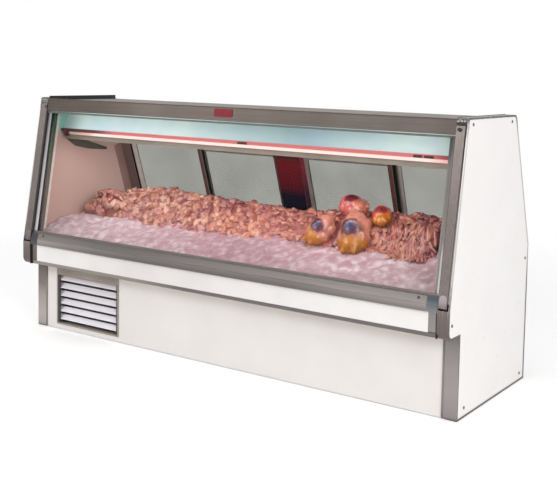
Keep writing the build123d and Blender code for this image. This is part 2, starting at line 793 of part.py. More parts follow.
VALANCE_SECTION = [
    at(*VALANCE_FOOT),
    at(VALANCE_FOOT[0] + VALANCE_SHEET, VALANCE_FOOT[1]),
    at(VALANCE_TOP_DEPTH + VALANCE_SHEET, CANOPY_BOTTOM),
    at(VALANCE_TOP_DEPTH, CANOPY_BOTTOM),
]
save_bar("lamp_valance", VALANCE_SECTION, FULL_WIDTH)

with BuildPart() as lamp_channel:
    extrude(section(rectangle(*LAMP_CHANNEL), -INNER_HALF), amount=2 * INNER_HALF)
    holder = rectangle(LAMP_CHANNEL[0], LAMP_CHANNEL[1], LAMP_HOLDER_FOOT, LAMP_CHANNEL[2])
    for start, end in both_ends(LAMP_HALF_LENGTH, LAMP_HALF_LENGTH + LAMP_HOLDER_LENGTH):
        extrude(section(holder, start), amount=end - start)
save(lamp_channel, "lamp_channel")

with BuildPart() as lamp_tube:
    with BuildSketch(Plane.YZ.offset(-LAMP_HALF_LENGTH)):
        with Locations(at(LAMP_DEPTH, LAMP_HEIGHT)):
            Circle(LAMP_RADIUS)
    extrude(amount=2 * LAMP_HALF_LENGTH)
save(lamp_tube, "lamp_tube")

# Overhead cooling coil, carried by hangers that also hold the drip pan

PAN_INSIDE = (PAN_FRONT[0] + PAN_SHEET, PAN_REAR[0] - PAN_SHEET)
PAN_SECTION = [
    at(PAN_FRONT[0], PAN_FRONT[1] + PAN_LIP),
    at(*PAN_FRONT),
    at(*PAN_REAR),
    at(PAN_REAR[0], PAN_REAR[1] + PAN_LIP),
    at(PAN_INSIDE[1], PAN_REAR[1] + PAN_LIP),
    at(PAN_INSIDE[1], slope_height(PAN_FRONT, PAN_REAR, PAN_INSIDE[1]) + PAN_SHEET),
    at(PAN_INSIDE[0], slope_height(PAN_FRONT, PAN_REAR, PAN_INSIDE[0]) + PAN_SHEET),
    at(PAN_INSIDE[0], PAN_FRONT[1] + PAN_LIP),
]
save_bar("coil_drip_pan", PAN_SECTION, FULL_WIDTH)


def coil_plate(front_depth, rear_depth, clearance, top, x, sheet):
    """A fin or hanger of the coil, from above the drip pan up to a height."""
    gap = PAN_SHEET + clearance
    points = [
        at(front_depth, slope_height(PAN_FRONT, PAN_REAR, front_depth) + gap),
        at(rear_depth, slope_height(PAN_FRONT, PAN_REAR, rear_depth) + gap),
        at(rear_depth, top),
        at(front_depth, top),
    ]
    return extrude(section(points, x - sheet / 2), amount=sheet, mode=Mode.PRIVATE)


with BuildPart() as cooling_coil:
    for x in HANGER_PLACES:
        add(coil_plate(COIL_FRONT, COIL_REAR, 0, CANOPY_BOTTOM, x, HANGER_SHEET))
    for number in range(FIN_COUNT):
        fin_x = (number - (FIN_COUNT - 1) / 2) * FIN_SPACING
        add(coil_plate(COIL_FRONT + FIN_CLEARANCE, COIL_REAR, FIN_CLEARANCE, FIN_TOP, fin_x, FIN_SHEET))
    with BuildSketch(Plane.YZ.offset(-COIL_HALF_LENGTH)):
        with Locations(*[at(depth, height) for depth in COIL_TUBE_DEPTHS for height in COIL_TUBE_HEIGHTS]):
            Circle(COIL_TUBE_RADIUS)
    extrude(amount=2 * COIL_HALF_LENGTH)
save(cooling_coil, "cooling_coil")

# Leaning back: header, tracks, posts and four sliding doors

REAR_HEADER_SECTION = [
    rear(HEADER_UP, HEADER_INWARD[0]),
    rear(HEADER_UP, HEADER_INWARD[1]),
    rear_level(TOP_PANEL_HEIGHT - SHEET, HEADER_INWARD[1]),
    rear_level(TOP_PANEL_HEIGHT - SHEET, HEADER_INWARD[0]),
]
save_bar("rear_header", REAR_HEADER_SECTION, FULL_WIDTH)


def groove(up, door_inward):
    """Section of a groove that a door runs in."""
    return rear_rectangle(up, (door_inward - DOOR_SLACK, door_inward + DOOR_SHEET + DOOR_SLACK))


def grooved_bar(name, up, inward, groove_up):
    """A track along the back with a groove for each row of doors."""
    with BuildPart() as bar:
        extrude(section(rear_rectangle(up, inward), -INNER_HALF), amount=2 * INNER_HALF)
        for door_inward in (OUTER_DOOR, INNER_DOOR):
            extrude(
                section(groove(groove_up, door_inward), -INNER_HALF),
                amount=2 * INNER_HALF,
                mode=Mode.SUBTRACT,
            )
    save(bar, name)


grooved_bar("rear_sill", SILL_UP, SILL_INWARD, (SILL_UP[1] - GROOVE_DEPTH, SILL_UP[1]))
grooved_bar("upper_door_track", (TRACK_UP, HEADER_UP), TRACK_INWARD, (TRACK_UP, TRACK_UP + GROOVE_DEPTH))

POST_SECTION = rear_rectangle((SILL_UP[1], TRACK_UP), POST_INWARD)
JAMB_FACE = INNER_HALF - JAMB_WIDTH
MULLION_SPAN = (-MULLION_WIDTH / 2, MULLION_WIDTH / 2)
save_bar("rear_posts", POST_SECTION, [*both_ends(JAMB_FACE, INNER_HALF), MULLION_SPAN])

DOOR_UP = (SILL_UP[1] - GROOVE_DEPTH + DOOR_SLACK, TRACK_UP + GROOVE_DEPTH - DOOR_SLACK)
BAY_WIDTH = JAMB_FACE - MULLION_WIDTH / 2
DOOR_WIDTH = (BAY_WIDTH + DOOR_OVERLAP) / 2
OUTER_START = JAMB_FACE - DOOR_GAP - DOOR_WIDTH
INNER_START = MULLION_WIDTH / 2 + DOOR_GAP
# Number, start along X, distance of the door inward from the back, thickness and side of its pull
DOORS = [
    (1, -OUTER_START - DOOR_WIDTH, OUTER_DOOR, OUTER_PULL, -1),
    (2, -INNER_START - DOOR_WIDTH, INNER_DOOR, INNER_PULL, 1),
    (3, INNER_START, INNER_DOOR, INNER_PULL, -1),
    (4, OUTER_START, OUTER_DOOR, OUTER_PULL, 1),
]
PANE_UP = (DOOR_UP[0] + DOOR_RAIL, DOOR_UP[1] - DOOR_RAIL)
PULL_MIDDLE = (DOOR_UP[0] + DOOR_UP[1]) / 2
PULL_UP = (PULL_MIDDLE - PULL_LENGTH / 2, PULL_MIDDLE + PULL_LENGTH / 2)

for number, door_start, inward, pull, pull_side in DOORS:
    pane_start = door_start + DOOR_STILE
    pane_width = DOOR_WIDTH - 2 * DOOR_STILE
    leaf = rear_rectangle(DOOR_UP, (inward, inward + DOOR_SHEET))
    window = rear_rectangle(PANE_UP, (inward, inward + DOOR_SHEET))
    pane_inward = inward + (DOOR_SHEET - DOOR_PANE) / 2
    pane = rear_rectangle(PANE_UP, (pane_inward, pane_inward + DOOR_PANE))
    pull_section = rear_rectangle(PULL_UP, (inward - pull, inward))
    pull_middle = door_start + DOOR_WIDTH / 2 + pull_side * (DOOR_WIDTH - DOOR_STILE) / 2

    with BuildPart() as door_frame:
        extrude(section(leaf, door_start), amount=DOOR_WIDTH)
        extrude(section(window, pane_start), amount=pane_width, mode=Mode.SUBTRACT)
        extrude(section(pull_section, pull_middle - PULL_WIDTH / 2), amount=PULL_WIDTH)
    save(door_frame, f"rear_door_{number}_frame")
    save_bar(f"rear_door_{number}_pane", pane, [(pane_start, pane_start + pane_width)])

# Control box with its light switch and thermostat knob

CONTROL_Y, CONTROL_Z = rear(CONTROL_UP, HEADER_INWARD[0])
CONTROL_PLANE = Plane(
    (CONTROL_X, CONTROL_Y, CONTROL_Z),
    x_dir=(-1, 0, 0),
    z_dir=(0, cos(REAR_LEAN), sin(REAR_LEAN)),
)
ON_FACE = (Align.CENTER, Align.CENTER, Align.MIN)
BELOW_FACE = (Align.CENTER, Align.CENTER, Align.MAX)
ROCKER_AXIS = Location((SWITCH_X, 0, ROCKER_PIVOT), (0, 90, 0))

with BuildPart(CONTROL_PLANE) as control_box:
    Box(*CONTROL_BOX, align=ON_FACE)
    with Locations((SWITCH_X, 0, CONTROL_BOX[2])):
        Box(*SWITCH_POCKET, align=BELOW_FACE, mode=Mode.SUBTRACT)
    with Locations(ROCKER_AXIS):
        Cylinder(ROCKER_PIN_RADIUS + RUNNING_CLEARANCE, ROCKER_PIN_LENGTH + KNOB_GAP, mode=Mode.SUBTRACT)
    with Locations((KNOB_X, 0, CONTROL_BOX[2])):
        Cylinder(
            KNOB_SHAFT_RADIUS + RUNNING_CLEARANCE,
            KNOB_SHAFT_DEPTH + KNOB_GAP,
            align=BELOW_FACE,
            mode=Mode.SUBTRACT,
        )
save(control_box, "control_box")

with BuildPart(CONTROL_PLANE) as light_switch:
    with Locations(Location((SWITCH_X, 0, ROCKER_PIVOT), (-ROCKER_TILT, 0, 0))):
        Box(*ROCKER, align=ON_FACE)
    with Locations(ROCKER_AXIS):
        Cylinder(ROCKER_PIN_RADIUS, ROCKER_PIN_LENGTH)
save(light_switch, "light_switch")

with BuildPart(CONTROL_PLANE) as thermostat_knob:
    with Locations((KNOB_X, 0, CONTROL_BOX[2] + KNOB_GAP)):
        Cylinder(KNOB_RADIUS, KNOB_HEIGHT, align=ON_FACE)
        Cylinder(KNOB_SHAFT_RADIUS, KNOB_SHAFT_DEPTH, align=BELOW_FACE)
    with Locations((KNOB_X, KNOB_RADIUS / 2, CONTROL_BOX[2] + KNOB_GAP + KNOB_HEIGHT)):
        Box(*KNOB_POINTER, align=ON_FACE)
save(thermostat_knob, "thermostat_knob")

# Base: corner posts, beams, front panel, grille and rear panel

POST_TOP = NOSE_BOTTOM - POST_GAP
POST_INNER = HALF_LENGTH - POST_WIDTH
with BuildPart() as base_posts:
    for side in (-1, 1):
        web = rectangle(POST_FRONT, POST_FRONT + SHEET, POST_FOOT, POST_TOP)
        leg = rectangle(POST_FRONT, POST_FRONT + POST_RETURN, POST_FOOT, POST_TOP)
        extrude(section(web, side * POST_INNER), amount=side * POST_WIDTH)
        extrude(section(leg, side * POST_INNER), amount=-side * SHEET)
save(base_posts, "base_posts")

CROSS_SECTION = rectangle(BEAM_FRONT + BEAM, BEAM_REAR, 0, BEAM)
base_beams = [bar(CROSS_SECTION, x - BEAM / 2, x + BEAM / 2) for x in CROSS_BEAMS]
for near in (BEAM_FRONT, BEAM_REAR):
    base_beams.append(bar(rectangle(near, near + BEAM, 0, BEAM), -BEAM_HALF_LENGTH, BEAM_HALF_LENGTH))
    upright_section = rectangle(near, near + BEAM, BEAM, TUB_BOTTOM)
    base_beams += [bar(upright_section, x - BEAM / 2, x + BEAM / 2) for x in UPRIGHTS]
save_group("base_frame", base_beams)


def upright_plane(depth):
    """Upright plane across the case at a depth, facing the back, with its origin on the floor."""
    return Plane((0, *at(depth, 0)), x_dir=(-1, 0, 0), z_dir=BACK_AXIS)


GRILLE_PLACE = (-GRILLE_CENTRE[0], GRILLE_CENTRE[1])
GRILLE_SLEEVE = [side + 2 * SHEET for side in GRILLE_OPENING]
GRILLE_OUTER = [side + 2 * GRILLE_FLANGE for side in GRILLE_OPENING]
PANEL_HALF = HALF_LENGTH - POST_WIDTH - SHEET
with BuildPart() as front_base_panel:
    with BuildSketch(upright_plane(BASE_PANEL_DEPTH)):
        with Locations((0, (BASE_PANEL_FOOT + TUB_BOTTOM) / 2)):
            Rectangle(2 * PANEL_HALF, TUB_BOTTOM - BASE_PANEL_FOOT)
        with Locations(GRILLE_PLACE):
            Rectangle(*GRILLE_SLEEVE, mode=Mode.SUBTRACT)
    extrude(amount=SHEET)
save(front_base_panel, "front_base_panel")

with BuildPart() as grille_frame:
    with BuildSketch(upright_plane(GRILLE_FRONT)):
        with Locations(GRILLE_PLACE):
            Rectangle(*GRILLE_OUTER)
        with Locations((GRILLE_PLACE[0], (GRILLE_CENTRE[1] + GRILLE_TOP) / 2)):
            Rectangle(GRILLE_OUTER[0], GRILLE_TOP - GRILLE_CENTRE[1])
        with Locations(GRILLE_PLACE):
            Rectangle(*GRILLE_OPENING, mode=Mode.SUBTRACT)
    extrude(amount=BASE_PANEL_DEPTH - GRILLE_FRONT)
    with BuildSketch(upright_plane(BASE_PANEL_DEPTH)):
        with Locations(GRILLE_PLACE):
            Rectangle(*GRILLE_SLEEVE)
            Rectangle(*GRILLE_OPENING, mode=Mode.SUBTRACT)
    extrude(amount=GRILLE_BACK - BASE_PANEL_DEPTH)
save(grille_frame, "grille_frame")

FIRST_LOUVRE = GRILLE_CENTRE[1] - (LOUVRES - 1) / 2 * LOUVRE_PITCH - LOUVRE_RISE / 2 + LOUVRE_LIFT
with BuildPart() as grille_louvres:
    louvre_start = GRILLE_CENTRE[0] - GRILLE_OPENING[0] / 2
    for number in range(LOUVRES):
        foot = FIRST_LOUVRE + number * LOUVRE_PITCH
        blade = [
            at(LOUVRE_FRONT, foot),
            at(LOUVRE_BACK, foot + LOUVRE_RISE),
            at(LOUVRE_BACK, foot + LOUVRE_RISE + LOUVRE_SHEET),
            at(LOUVRE_FRONT, foot + LOUVRE_SHEET),
        ]
        extrude(section(blade, louvre_start), amount=GRILLE_OPENING[0])
save(grille_louvres, "grille_louvres")

REAR_PANEL_TOP = slope_height(*REAR_SILL_FOOT, REAR_PANEL_Y)
with BuildPart() as rear_panel:
    with BuildSketch(upright_plane(REAR_PANEL_DEPTH)):
        with Locations((0, (BASE_PANEL_FOOT + REAR_PANEL_TOP) / 2)):
            Rectangle(2 * INNER_HALF, REAR_PANEL_TOP - BASE_PANEL_FOOT)
        with Locations((-CONDENSER_X, FAN_HEIGHT)):
            with GridLocations(VENT_SLOT[0], VENT_PITCH, 1, VENTS):
                SlotOverall(*VENT_SLOT, mode=Mode.SUBTRACT)
        with Locations((-DRAIN_X, DRAIN_HEIGHT)):
            Circle(DRAIN_RADIUS, mode=Mode.SUBTRACT)
    extrude(amount=SHEET)
save(rear_panel, "rear_panel")

# Condensing unit and drain

SHROUD_FRONT = CONDENSER_FRONT + CONDENSER[1]
with BuildPart() as condenser_coil:
    condenser_section = rectangle(CONDENSER_FRONT, SHROUD_FRONT, BEAM, BEAM + CONDENSER[2])
    extrude(section(condenser_section, CONDENSER_X - CONDENSER[0] / 2), amount=CONDENSER[0])
save(condenser_coil, "condenser_coil")

FAN_PLACE = (-CONDENSER_X, FAN_HEIGHT)
with BuildPart() as fan_shroud:
    with BuildSketch(upright_plane(SHROUD_FRONT)):
        with Locations(FAN_PLACE):
            Rectangle(*SHROUD)
            Circle(FAN_OPENING, mode=Mode.SUBTRACT)
    extrude(amount=SHROUD_SHEET)
    with BuildSketch(upright_plane(SHROUD_FRONT + SHROUD_SHEET)):
        with Locations(FAN_PLACE):
            Circle(FAN_OPENING + SHROUD_SHEET)
            Circle(FAN_OPENING, mode=Mode.SUBTRACT)
    extrude(amount=SHROUD_COLLAR)
save(fan_shroud, "fan_shroud")


def fan_plane(depth):
    """Plane across the fan's axis at a depth, facing the back."""
    return Plane((CONDENSER_X, *at(depth, FAN_HEIGHT)), x_dir=(-1, 0, 0), z_dir=BACK_AXIS)


with BuildPart(fan_plane(FAN_FRONT)) as fan_blade:
    Cylinder(FAN_HUB_RADIUS, FAN_HUB_DEPTH, align=ON_FACE)
    Cylinder(FAN_SHAFT_RADIUS, FAN_SHAFT_END - FAN_FRONT, align=ON_FACE)
    with Locations((0, 0, FAN_HUB_DEPTH / 2)):
        with PolarLocations((FAN_BLADE_ROOT + FAN_BLADE_TIP) / 2, FAN_BLADES):
            Box(
                FAN_BLADE_TIP - FAN_BLADE_ROOT,
                FAN_BLADE_WIDTH,
                FAN_BLADE_SHEET,
                rotation=(FAN_PITCH, 0, 0),
            )
save(fan_blade, "fan_blade")

with BuildPart(fan_plane(MOTOR_FRONT)) as fan_motor:
    Cylinder(MOTOR_RADIUS, MOTOR_LENGTH, align=ON_FACE)
    bracket_height = FAN_HEIGHT - BEAM
    with Locations((0, 0, MOTOR_LENGTH)):
        Box(
            MOTOR_BRACKET[0],
            bracket_height,
            MOTOR_BRACKET[1],
            align=(Align.CENTER, Align.MAX, Align.MIN),
        )
    Cylinder(
        FAN_SHAFT_RADIUS + RUNNING_CLEARANCE,
        FAN_SHAFT_END - MOTOR_FRONT + SHEET,
        align=ON_FACE,
        mode=Mode.SUBTRACT,
    )
save(fan_motor, "fan_motor")

COMPRESSOR_PLACE = at(COMPRESSOR[1], BEAM)
with BuildPart(Plane((COMPRESSOR[0], *COMPRESSOR_PLACE))) as compressor:
    with Locations((0, 0, COMPRESSOR_PLATE[2])):
        Cylinder(COMPRESSOR_RADIUS, COMPRESSOR_HEIGHT, align=ON_FACE)
    fillet(faces().sort_by(Axis.Z)[-1].edges(), COMPRESSOR_DOME)
    Box(*COMPRESSOR_PLATE, align=ON_FACE)
save(compressor, "compressor")

COMPRESSOR_TOP = BEAM + COMPRESSOR_PLATE[2] + COMPRESSOR_HEIGHT


def pipe(points, bend, radius, bore=0):
    """A pipe along straight runs with rounded bends."""
    with BuildPart() as tube:
        with BuildLine() as route:
            FilletPolyline(*points, radius=bend)
        with BuildSketch(Plane(route.line @ 0, z_dir=route.line % 0)):
            Circle(radius)
            if bore:
                Circle(bore, mode=Mode.SUBTRACT)
        sweep()
    return tube.part


def place(x, depth, height):
    """A point from its place along X, its depth and its height."""
    return (x, *at(depth, height))


CONDENSER_SIDE = CONDENSER_X + CONDENSER[0] / 2
CONDENSER_MIDDLE = CONDENSER_FRONT + CONDENSER[1] / 2
DISCHARGE_X = COMPRESSOR[0] - LINE_OFFSET
SUCTION_X = COMPRESSOR[0] + LINE_OFFSET
DISCHARGE_LINE = [
    place(DISCHARGE_X, COMPRESSOR[1], COMPRESSOR_TOP),
    place(DISCHARGE_X, COMPRESSOR[1], DISCHARGE_HEIGHT),
    place(DISCHARGE_X, CONDENSER_MIDDLE, DISCHARGE_HEIGHT),
    place(CONDENSER_SIDE, CONDENSER_MIDDLE, DISCHARGE_HEIGHT),
]
LIQUID_LINE = [
    place(CONDENSER_SIDE, CONDENSER_MIDDLE, LIQUID_HEIGHT),
    place(LIQUID_X, CONDENSER_MIDDLE, LIQUID_HEIGHT),
    place(LIQUID_X, LIQUID_DEPTH, LIQUID_HEIGHT),
    place(LIQUID_RISER_X, LIQUID_DEPTH, LIQUID_HEIGHT),
    place(LIQUID_RISER_X, LIQUID_DEPTH, LIQUID_EXIT_HEIGHT),
    place(-INNER_HALF, LIQUID_DEPTH, LIQUID_EXIT_HEIGHT),
]
SUCTION_LINE = [
    place(-INNER_HALF, SUCTION_DEPTH, SUCTION_HEIGHT),
    place(SUCTION_X, SUCTION_DEPTH, SUCTION_HEIGHT),
    place(SUCTION_X, COMPRESSOR[1], SUCTION_HEIGHT),
    place(SUCTION_X, COMPRESSOR[1], COMPRESSOR_TOP),
]
with BuildPart() as refrigerant_lines:
    for route_points in (DISCHARGE_LINE, LIQUID_LINE, SUCTION_LINE):
        add(pipe(route_points, LINE_BEND, LINE_RADIUS))
save(refrigerant_lines, "refrigerant_lines")

DRAIN_TOP = FLOOR_TOP + SHEET
DRAIN_ROUTE = [
    place(DRAIN_X, DRAIN_DEPTH, DRAIN_TOP),
    place(DRAIN_X, DRAIN_DEPTH, DRAIN_HEIGHT),
    place(DRAIN_X, DRAIN_SHOULDER, DRAIN_HEIGHT),
]
with BuildPart() as drain_pipe:
    add(pipe(DRAIN_ROUTE, DRAIN_BEND, DRAIN_RADIUS, DRAIN_BORE))
    with BuildSketch(upright_plane(DRAIN_SHOULDER)):
        with Locations((-DRAIN_X, DRAIN_HEIGHT)):
            Circle(SPIGOT_RADIUS)
            Circle(DRAIN_BORE, mode=Mode.SUBTRACT)
    extrude(amount=DRAIN_END - DRAIN_SHOULDER)
    with BuildSketch(Plane.XY.offset(DRAIN_TOP)):
        with Locations((DRAIN_X, at(DRAIN_DEPTH, 0)[0])):
            Circle(DRAIN_FLANGE_RADIUS)
            Circle(DRAIN_BORE, mode=Mode.SUBTRACT)
    extrude(amount=DRAIN_FLANGE)
save(drain_pipe, "drain_pipe")
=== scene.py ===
"""Looks of the display case: finishes, ice, food, small trim, studio light and camera around its CAD frame."""
import math

import bmesh
import bpy
import numpy as np
from mathutils import Matrix, Vector, noise


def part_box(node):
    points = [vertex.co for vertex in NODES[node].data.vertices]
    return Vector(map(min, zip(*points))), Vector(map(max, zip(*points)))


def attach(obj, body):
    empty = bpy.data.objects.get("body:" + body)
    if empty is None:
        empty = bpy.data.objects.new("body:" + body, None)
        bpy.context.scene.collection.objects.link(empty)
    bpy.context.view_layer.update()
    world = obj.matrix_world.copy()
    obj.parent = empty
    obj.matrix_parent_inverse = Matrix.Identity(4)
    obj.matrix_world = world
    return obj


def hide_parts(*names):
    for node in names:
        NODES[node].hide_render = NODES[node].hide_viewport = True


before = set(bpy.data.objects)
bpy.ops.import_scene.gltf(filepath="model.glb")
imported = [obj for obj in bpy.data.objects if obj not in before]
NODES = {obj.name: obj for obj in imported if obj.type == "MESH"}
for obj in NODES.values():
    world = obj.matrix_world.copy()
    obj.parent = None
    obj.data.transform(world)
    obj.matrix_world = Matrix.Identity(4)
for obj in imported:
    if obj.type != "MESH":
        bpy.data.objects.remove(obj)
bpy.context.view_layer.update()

# Driving sizes of the frame, in metres
CASE_DEPTH = 0.864
CASE_HEIGHT = 1.286
FRONT_Y = -CASE_DEPTH / 2
NOSE_TOP = 0.494
HEADER_DEPTH = 0.130
FRONT_LEAN = math.atan2(HEADER_DEPTH, CASE_HEIGHT - NOSE_TOP)
REAR_BEND = 0.659
REAR_RUN = 0.212
REAR_LEAN = math.atan2(REAR_RUN, CASE_HEIGHT - REAR_BEND)
INNER_HALF = 1.240
LAMP_Y = FRONT_Y + 0.236
LAMP_Z = 1.087
LAMP_RADIUS = 0.008
LAMP_HALF = 1.194

# Camera of the photo
PHOTO_WIDTH = 557
PHOTO_HEIGHT = 500
FOCAL_PIXELS = 981.25
CENTRE_PIXEL = (312.94, 150.0)
CAMERA_PLACE = (2.9836, -4.0461, 1.4727)
CAMERA_YAW = math.radians(33.296)
CAMERA_PITCH = math.radians(4.699)
CAMERA_ROLL = math.radians(1.255)
SENSOR = 36.0


# Places: a level and a depth as Y and Z

def front(up, inward):
    """On the leaning front: up the slope from the nose, and inward from its face."""
    y = FRONT_Y + up * math.sin(FRONT_LEAN) + inward * math.cos(FRONT_LEAN)
    z = NOSE_TOP + up * math.cos(FRONT_LEAN) - inward * math.sin(FRONT_LEAN)
    return y, z


def rear(up, inward):
    """On the leaning back: up its slope from the bend, and inward from its face."""
    y = FRONT_Y + CASE_DEPTH - up * math.sin(REAR_LEAN) - inward * math.cos(REAR_LEAN)
    z = REAR_BEND + up * math.cos(REAR_LEAN) - inward * math.sin(REAR_LEAN)
    return y, z


def upright(height, depth):
    """On an upright face: height over the floor, and depth from the front of the case."""
    return FRONT_Y + depth, height


# Nodes of a material. Tones are red, green and blue as seen on a screen, 0 to 255.

WHITE = (255, 255, 255)
GLASS_IOR = 1.14
SCRATCH_STRETCH = 0.012
SCRATCH_DEPTH = 0.00004


def srgb(red, green, blue):
    """A tone in Blender's linear values."""
    shares = [value / 255 for value in (red, green, blue)]
    return tuple(((s + 0.055) / 1.055) ** 2.4 if s > 0.04 else s / 12.92 for s in shares) + (1.0,)


def shader_of(material):
    return material.node_tree.nodes["Principled BSDF"]


def new_material(name, **sockets):
    """A material with one Principled shader. A socket's name is given in lower case with underscores."""
    material = bpy.data.materials.new(name)
    material.use_nodes = True
    for socket, value in sockets.items():
        title = socket.replace("_", " ").title().replace("Ior", "IOR")
        shader_of(material).inputs[title].default_value = value
    return material


def add_node(owner, kind, links=None, **settings):
    """A node of a material or world, with its input values and with links from other nodes' outputs."""
    node = owner.node_tree.nodes.new(kind)
    for socket, value in settings.items():
        node.inputs[socket.replace("_", " ").title()].default_value = value
    for socket, output in (links or {}).items():
        owner.node_tree.links.new(output, node.inputs[socket])
    return node


def feed(material, socket, output):
    """Link an output to a socket of the material's shader."""
    material.node_tree.links.new(output, shader_of(material).inputs[socket])


def combined(owner, operation, first, second):
    """Two values put together by a Math node."""
    node = add_node(owner, "ShaderNodeMath", {0: first, 1: second})
    node.operation = operation
    return node.outputs["Value"]


def carried(material, value, **ends):
    """A value carried from one range to another. Ends that aren't given are 0 and 1."""
    return add_node(material, "ShaderNodeMapRange", {"Value": value}, **ends).outputs["Result"]


def mixed(material, first, second, factor=None, blend="MIX"):
    """Two colours mixed by a factor, or in full where none is given."""
    links = {"Color1": first, "Color2": second}
    if factor is not None:
        links["Fac"] = factor
    node = add_node(material, "ShaderNodeMixRGB", links, fac=1.0)
    node.blend_type = blend
    return node.outputs["Color"]


def show_both(material, factor, first, second):
    """Show one shader and, by a factor, another."""
    links = {"Fac": factor, 1: first.outputs["BSDF"], 2: second.outputs["BSDF"]}
    both = add_node(material, "ShaderNodeMixShader", links)
    surface_socket = material.node_tree.nodes["Material Output"].inputs["Surface"]
    material.node_tree.links.new(both.outputs["Shader"], surface_socket)


def point_value(material, name, output):
    """A value or colour that each point of the mesh carries."""
    node = add_node(material, "ShaderNodeAttribute")
    node.attribute_name = name
    return node.outputs[output]


def place_of(material):
    """Coordinates on the piece, in metres."""
    return add_node(material, "ShaderNodeTexCoord").outputs["Object"]


def along_axis(material, axis, low, high):
    """Place along one axis of the piece, as a share of the span from low to high."""
    split = add_node(material, "ShaderNodeSeparateXYZ", {"Vector": place_of(material)})
    return carried(material, split.outputs[axis], from_min=low, from_max=high)


def grain(material, scale, detail=3.0, stretch=(1.0, 1.0, 1.0)):
    """Noise over the piece, with this many features in a metre."""
    place = add_node(material, "ShaderNodeMapping", {"Vector": place_of(material)}, scale=stretch)
    links = {"Vector": place.outputs["Vector"]}
    return add_node(material, "ShaderNodeTexNoise", links, scale=scale, detail=detail).outputs["Fac"]


def ramp(material, factor, stops):
    """A tone for each value of the factor."""
    node = add_node(material, "ShaderNodeValToRGB", {"Fac": factor})
    elements = node.color_ramp.elements
    while len(elements) < len(stops):
        elements.new(0.5)
    for element, (position, tone) in zip(elements, stops):
        element.position = position
        element.color = srgb(*tone)
    return node.outputs["Color"]


def colour_by(material, factor, stops, socket="Base Color"):
    feed(material, socket, ramp(material, factor, stops))


def multiplied(material, factor, stops):
    """Multiply a material's colour by a tone for each value of the factor."""
    own = shader_of(material).inputs["Base Color"].links[0].from_socket
    feed(material, "Base Color", mixed(material, own, ramp(material, factor, stops), blend="MULTIPLY"))


def roughness_by(material, factor, low, high):
    feed(material, "Roughness", carried(material, factor, to_min=low, to_max=high))


def relief(material, factor, height):
    bump = add_node(material, "ShaderNodeBump", {"Height": factor}, distance=height)
    feed(material, "Normal", bump.outputs["Normal"])


def surface(material, patch, low, high, pits, height, detail=1.0):
    """Roughness that drifts between two values over patches, and a relief of fine pits."""
    roughness_by(material, grain(material, patch), low, high)
    relief(material, grain(material, pits, detail), height)


# Kinds of finish

def painted(name, low, high, roughness=0.34, peel=0.00006, patch=5.0, **sockets):
    """Enamelled sheet: a faintly uneven colour and a fine orange peel."""
    material = new_material(name, **sockets)
    colour_by(material, grain(material, patch), [(0.35, low), (0.65, high)])
    surface(material, 24.0, roughness - 0.06, roughness + 0.06, 420.0, peel)
    return material


def scratched(name, along, roughness):
    """Bare metal with fine scratches along one axis, and the field of those scratches."""
    material = new_material(name, metallic=1.0)
    stretch = [SCRATCH_STRETCH if axis == along else 1.0 for axis in "XYZ"]
    streaks = grain(material, 260.0, 4.0, stretch)
    roughness_by(material, streaks, roughness - 0.1, roughness + 0.1)
    relief(material, streaks, SCRATCH_DEPTH)
    return material, streaks


def brushed(name, low, high, along, roughness=0.34):
    """Brushed metal of a faintly uneven tone."""
    material, streaks = scratched(name, along, roughness)
    both = combined(material, "ADD", streaks, grain(material, 3.0))
    colour_by(material, carried(material, both, from_max=2.0), [(0.38, low), (0.62, high)])
    return material


def graded_steel(name, span, stops, along, roughness=0.34):
    """Brushed steel whose tone changes with height over a span."""
    material, streaks = scratched(name, along, roughness)
    drift = carried(material, streaks, to_min=-0.12, to_max=0.12)
    colour_by(material, combined(material, "ADD", along_axis(material, "Z", *span), drift), stops)
    return material


def sided(name, span, left, right=None, roughness=0.5, seam=(-0.01, 0.01), **sockets):
    """A tone that changes with height over a span, left of a seam and, where it differs, right of it."""
    material = new_material(name, **sockets)
    height = along_axis(material, "Z", *span)
    sides = [ramp(material, height, stops) for stops in (left, right or left)]
    feed(material, "Base Color", mixed(material, *sides, along_axis(material, "X", *seam)))
    surface(material, 40.0, roughness - 0.08, roughness + 0.08, 300.0, 0.0001)
    return material


def thin_glass(name, tint, tint_low=None):
    """Sheet glass: it mirrors at a glance, lets the rest through and carries faint smears."""
    material = new_material(name)
    material.node_tree.nodes.remove(shader_of(material))
    clear = add_node(material, "ShaderNodeBsdfTransparent", color=srgb(*tint))
    if tint_low:
        cloud = ramp(material, grain(material, 3.0), [(0.35, tint_low), (0.65, tint)])
        material.node_tree.links.new(cloud, clear.inputs["Color"])
    smear = carried(material, grain(material, 9.0), to_max=0.06)
    mirror = add_node(material, "ShaderNodeBsdfGlossy", {"Roughness": smear})
    # A ray leaves the sheet at the angle at which it came in, so the far face mirrors like the near one
    behind = add_node(material, "ShaderNodeNewGeometry").outputs["Backfacing"]
    index = carried(material, behind, to_min=GLASS_IOR, to_max=1 / GLASS_IOR)
    glance = add_node(material, "ShaderNodeFresnel", {"IOR": index}).outputs["Fac"]
    show_both(material, glance, clear, mirror)
    return material


# Finishes of one piece each

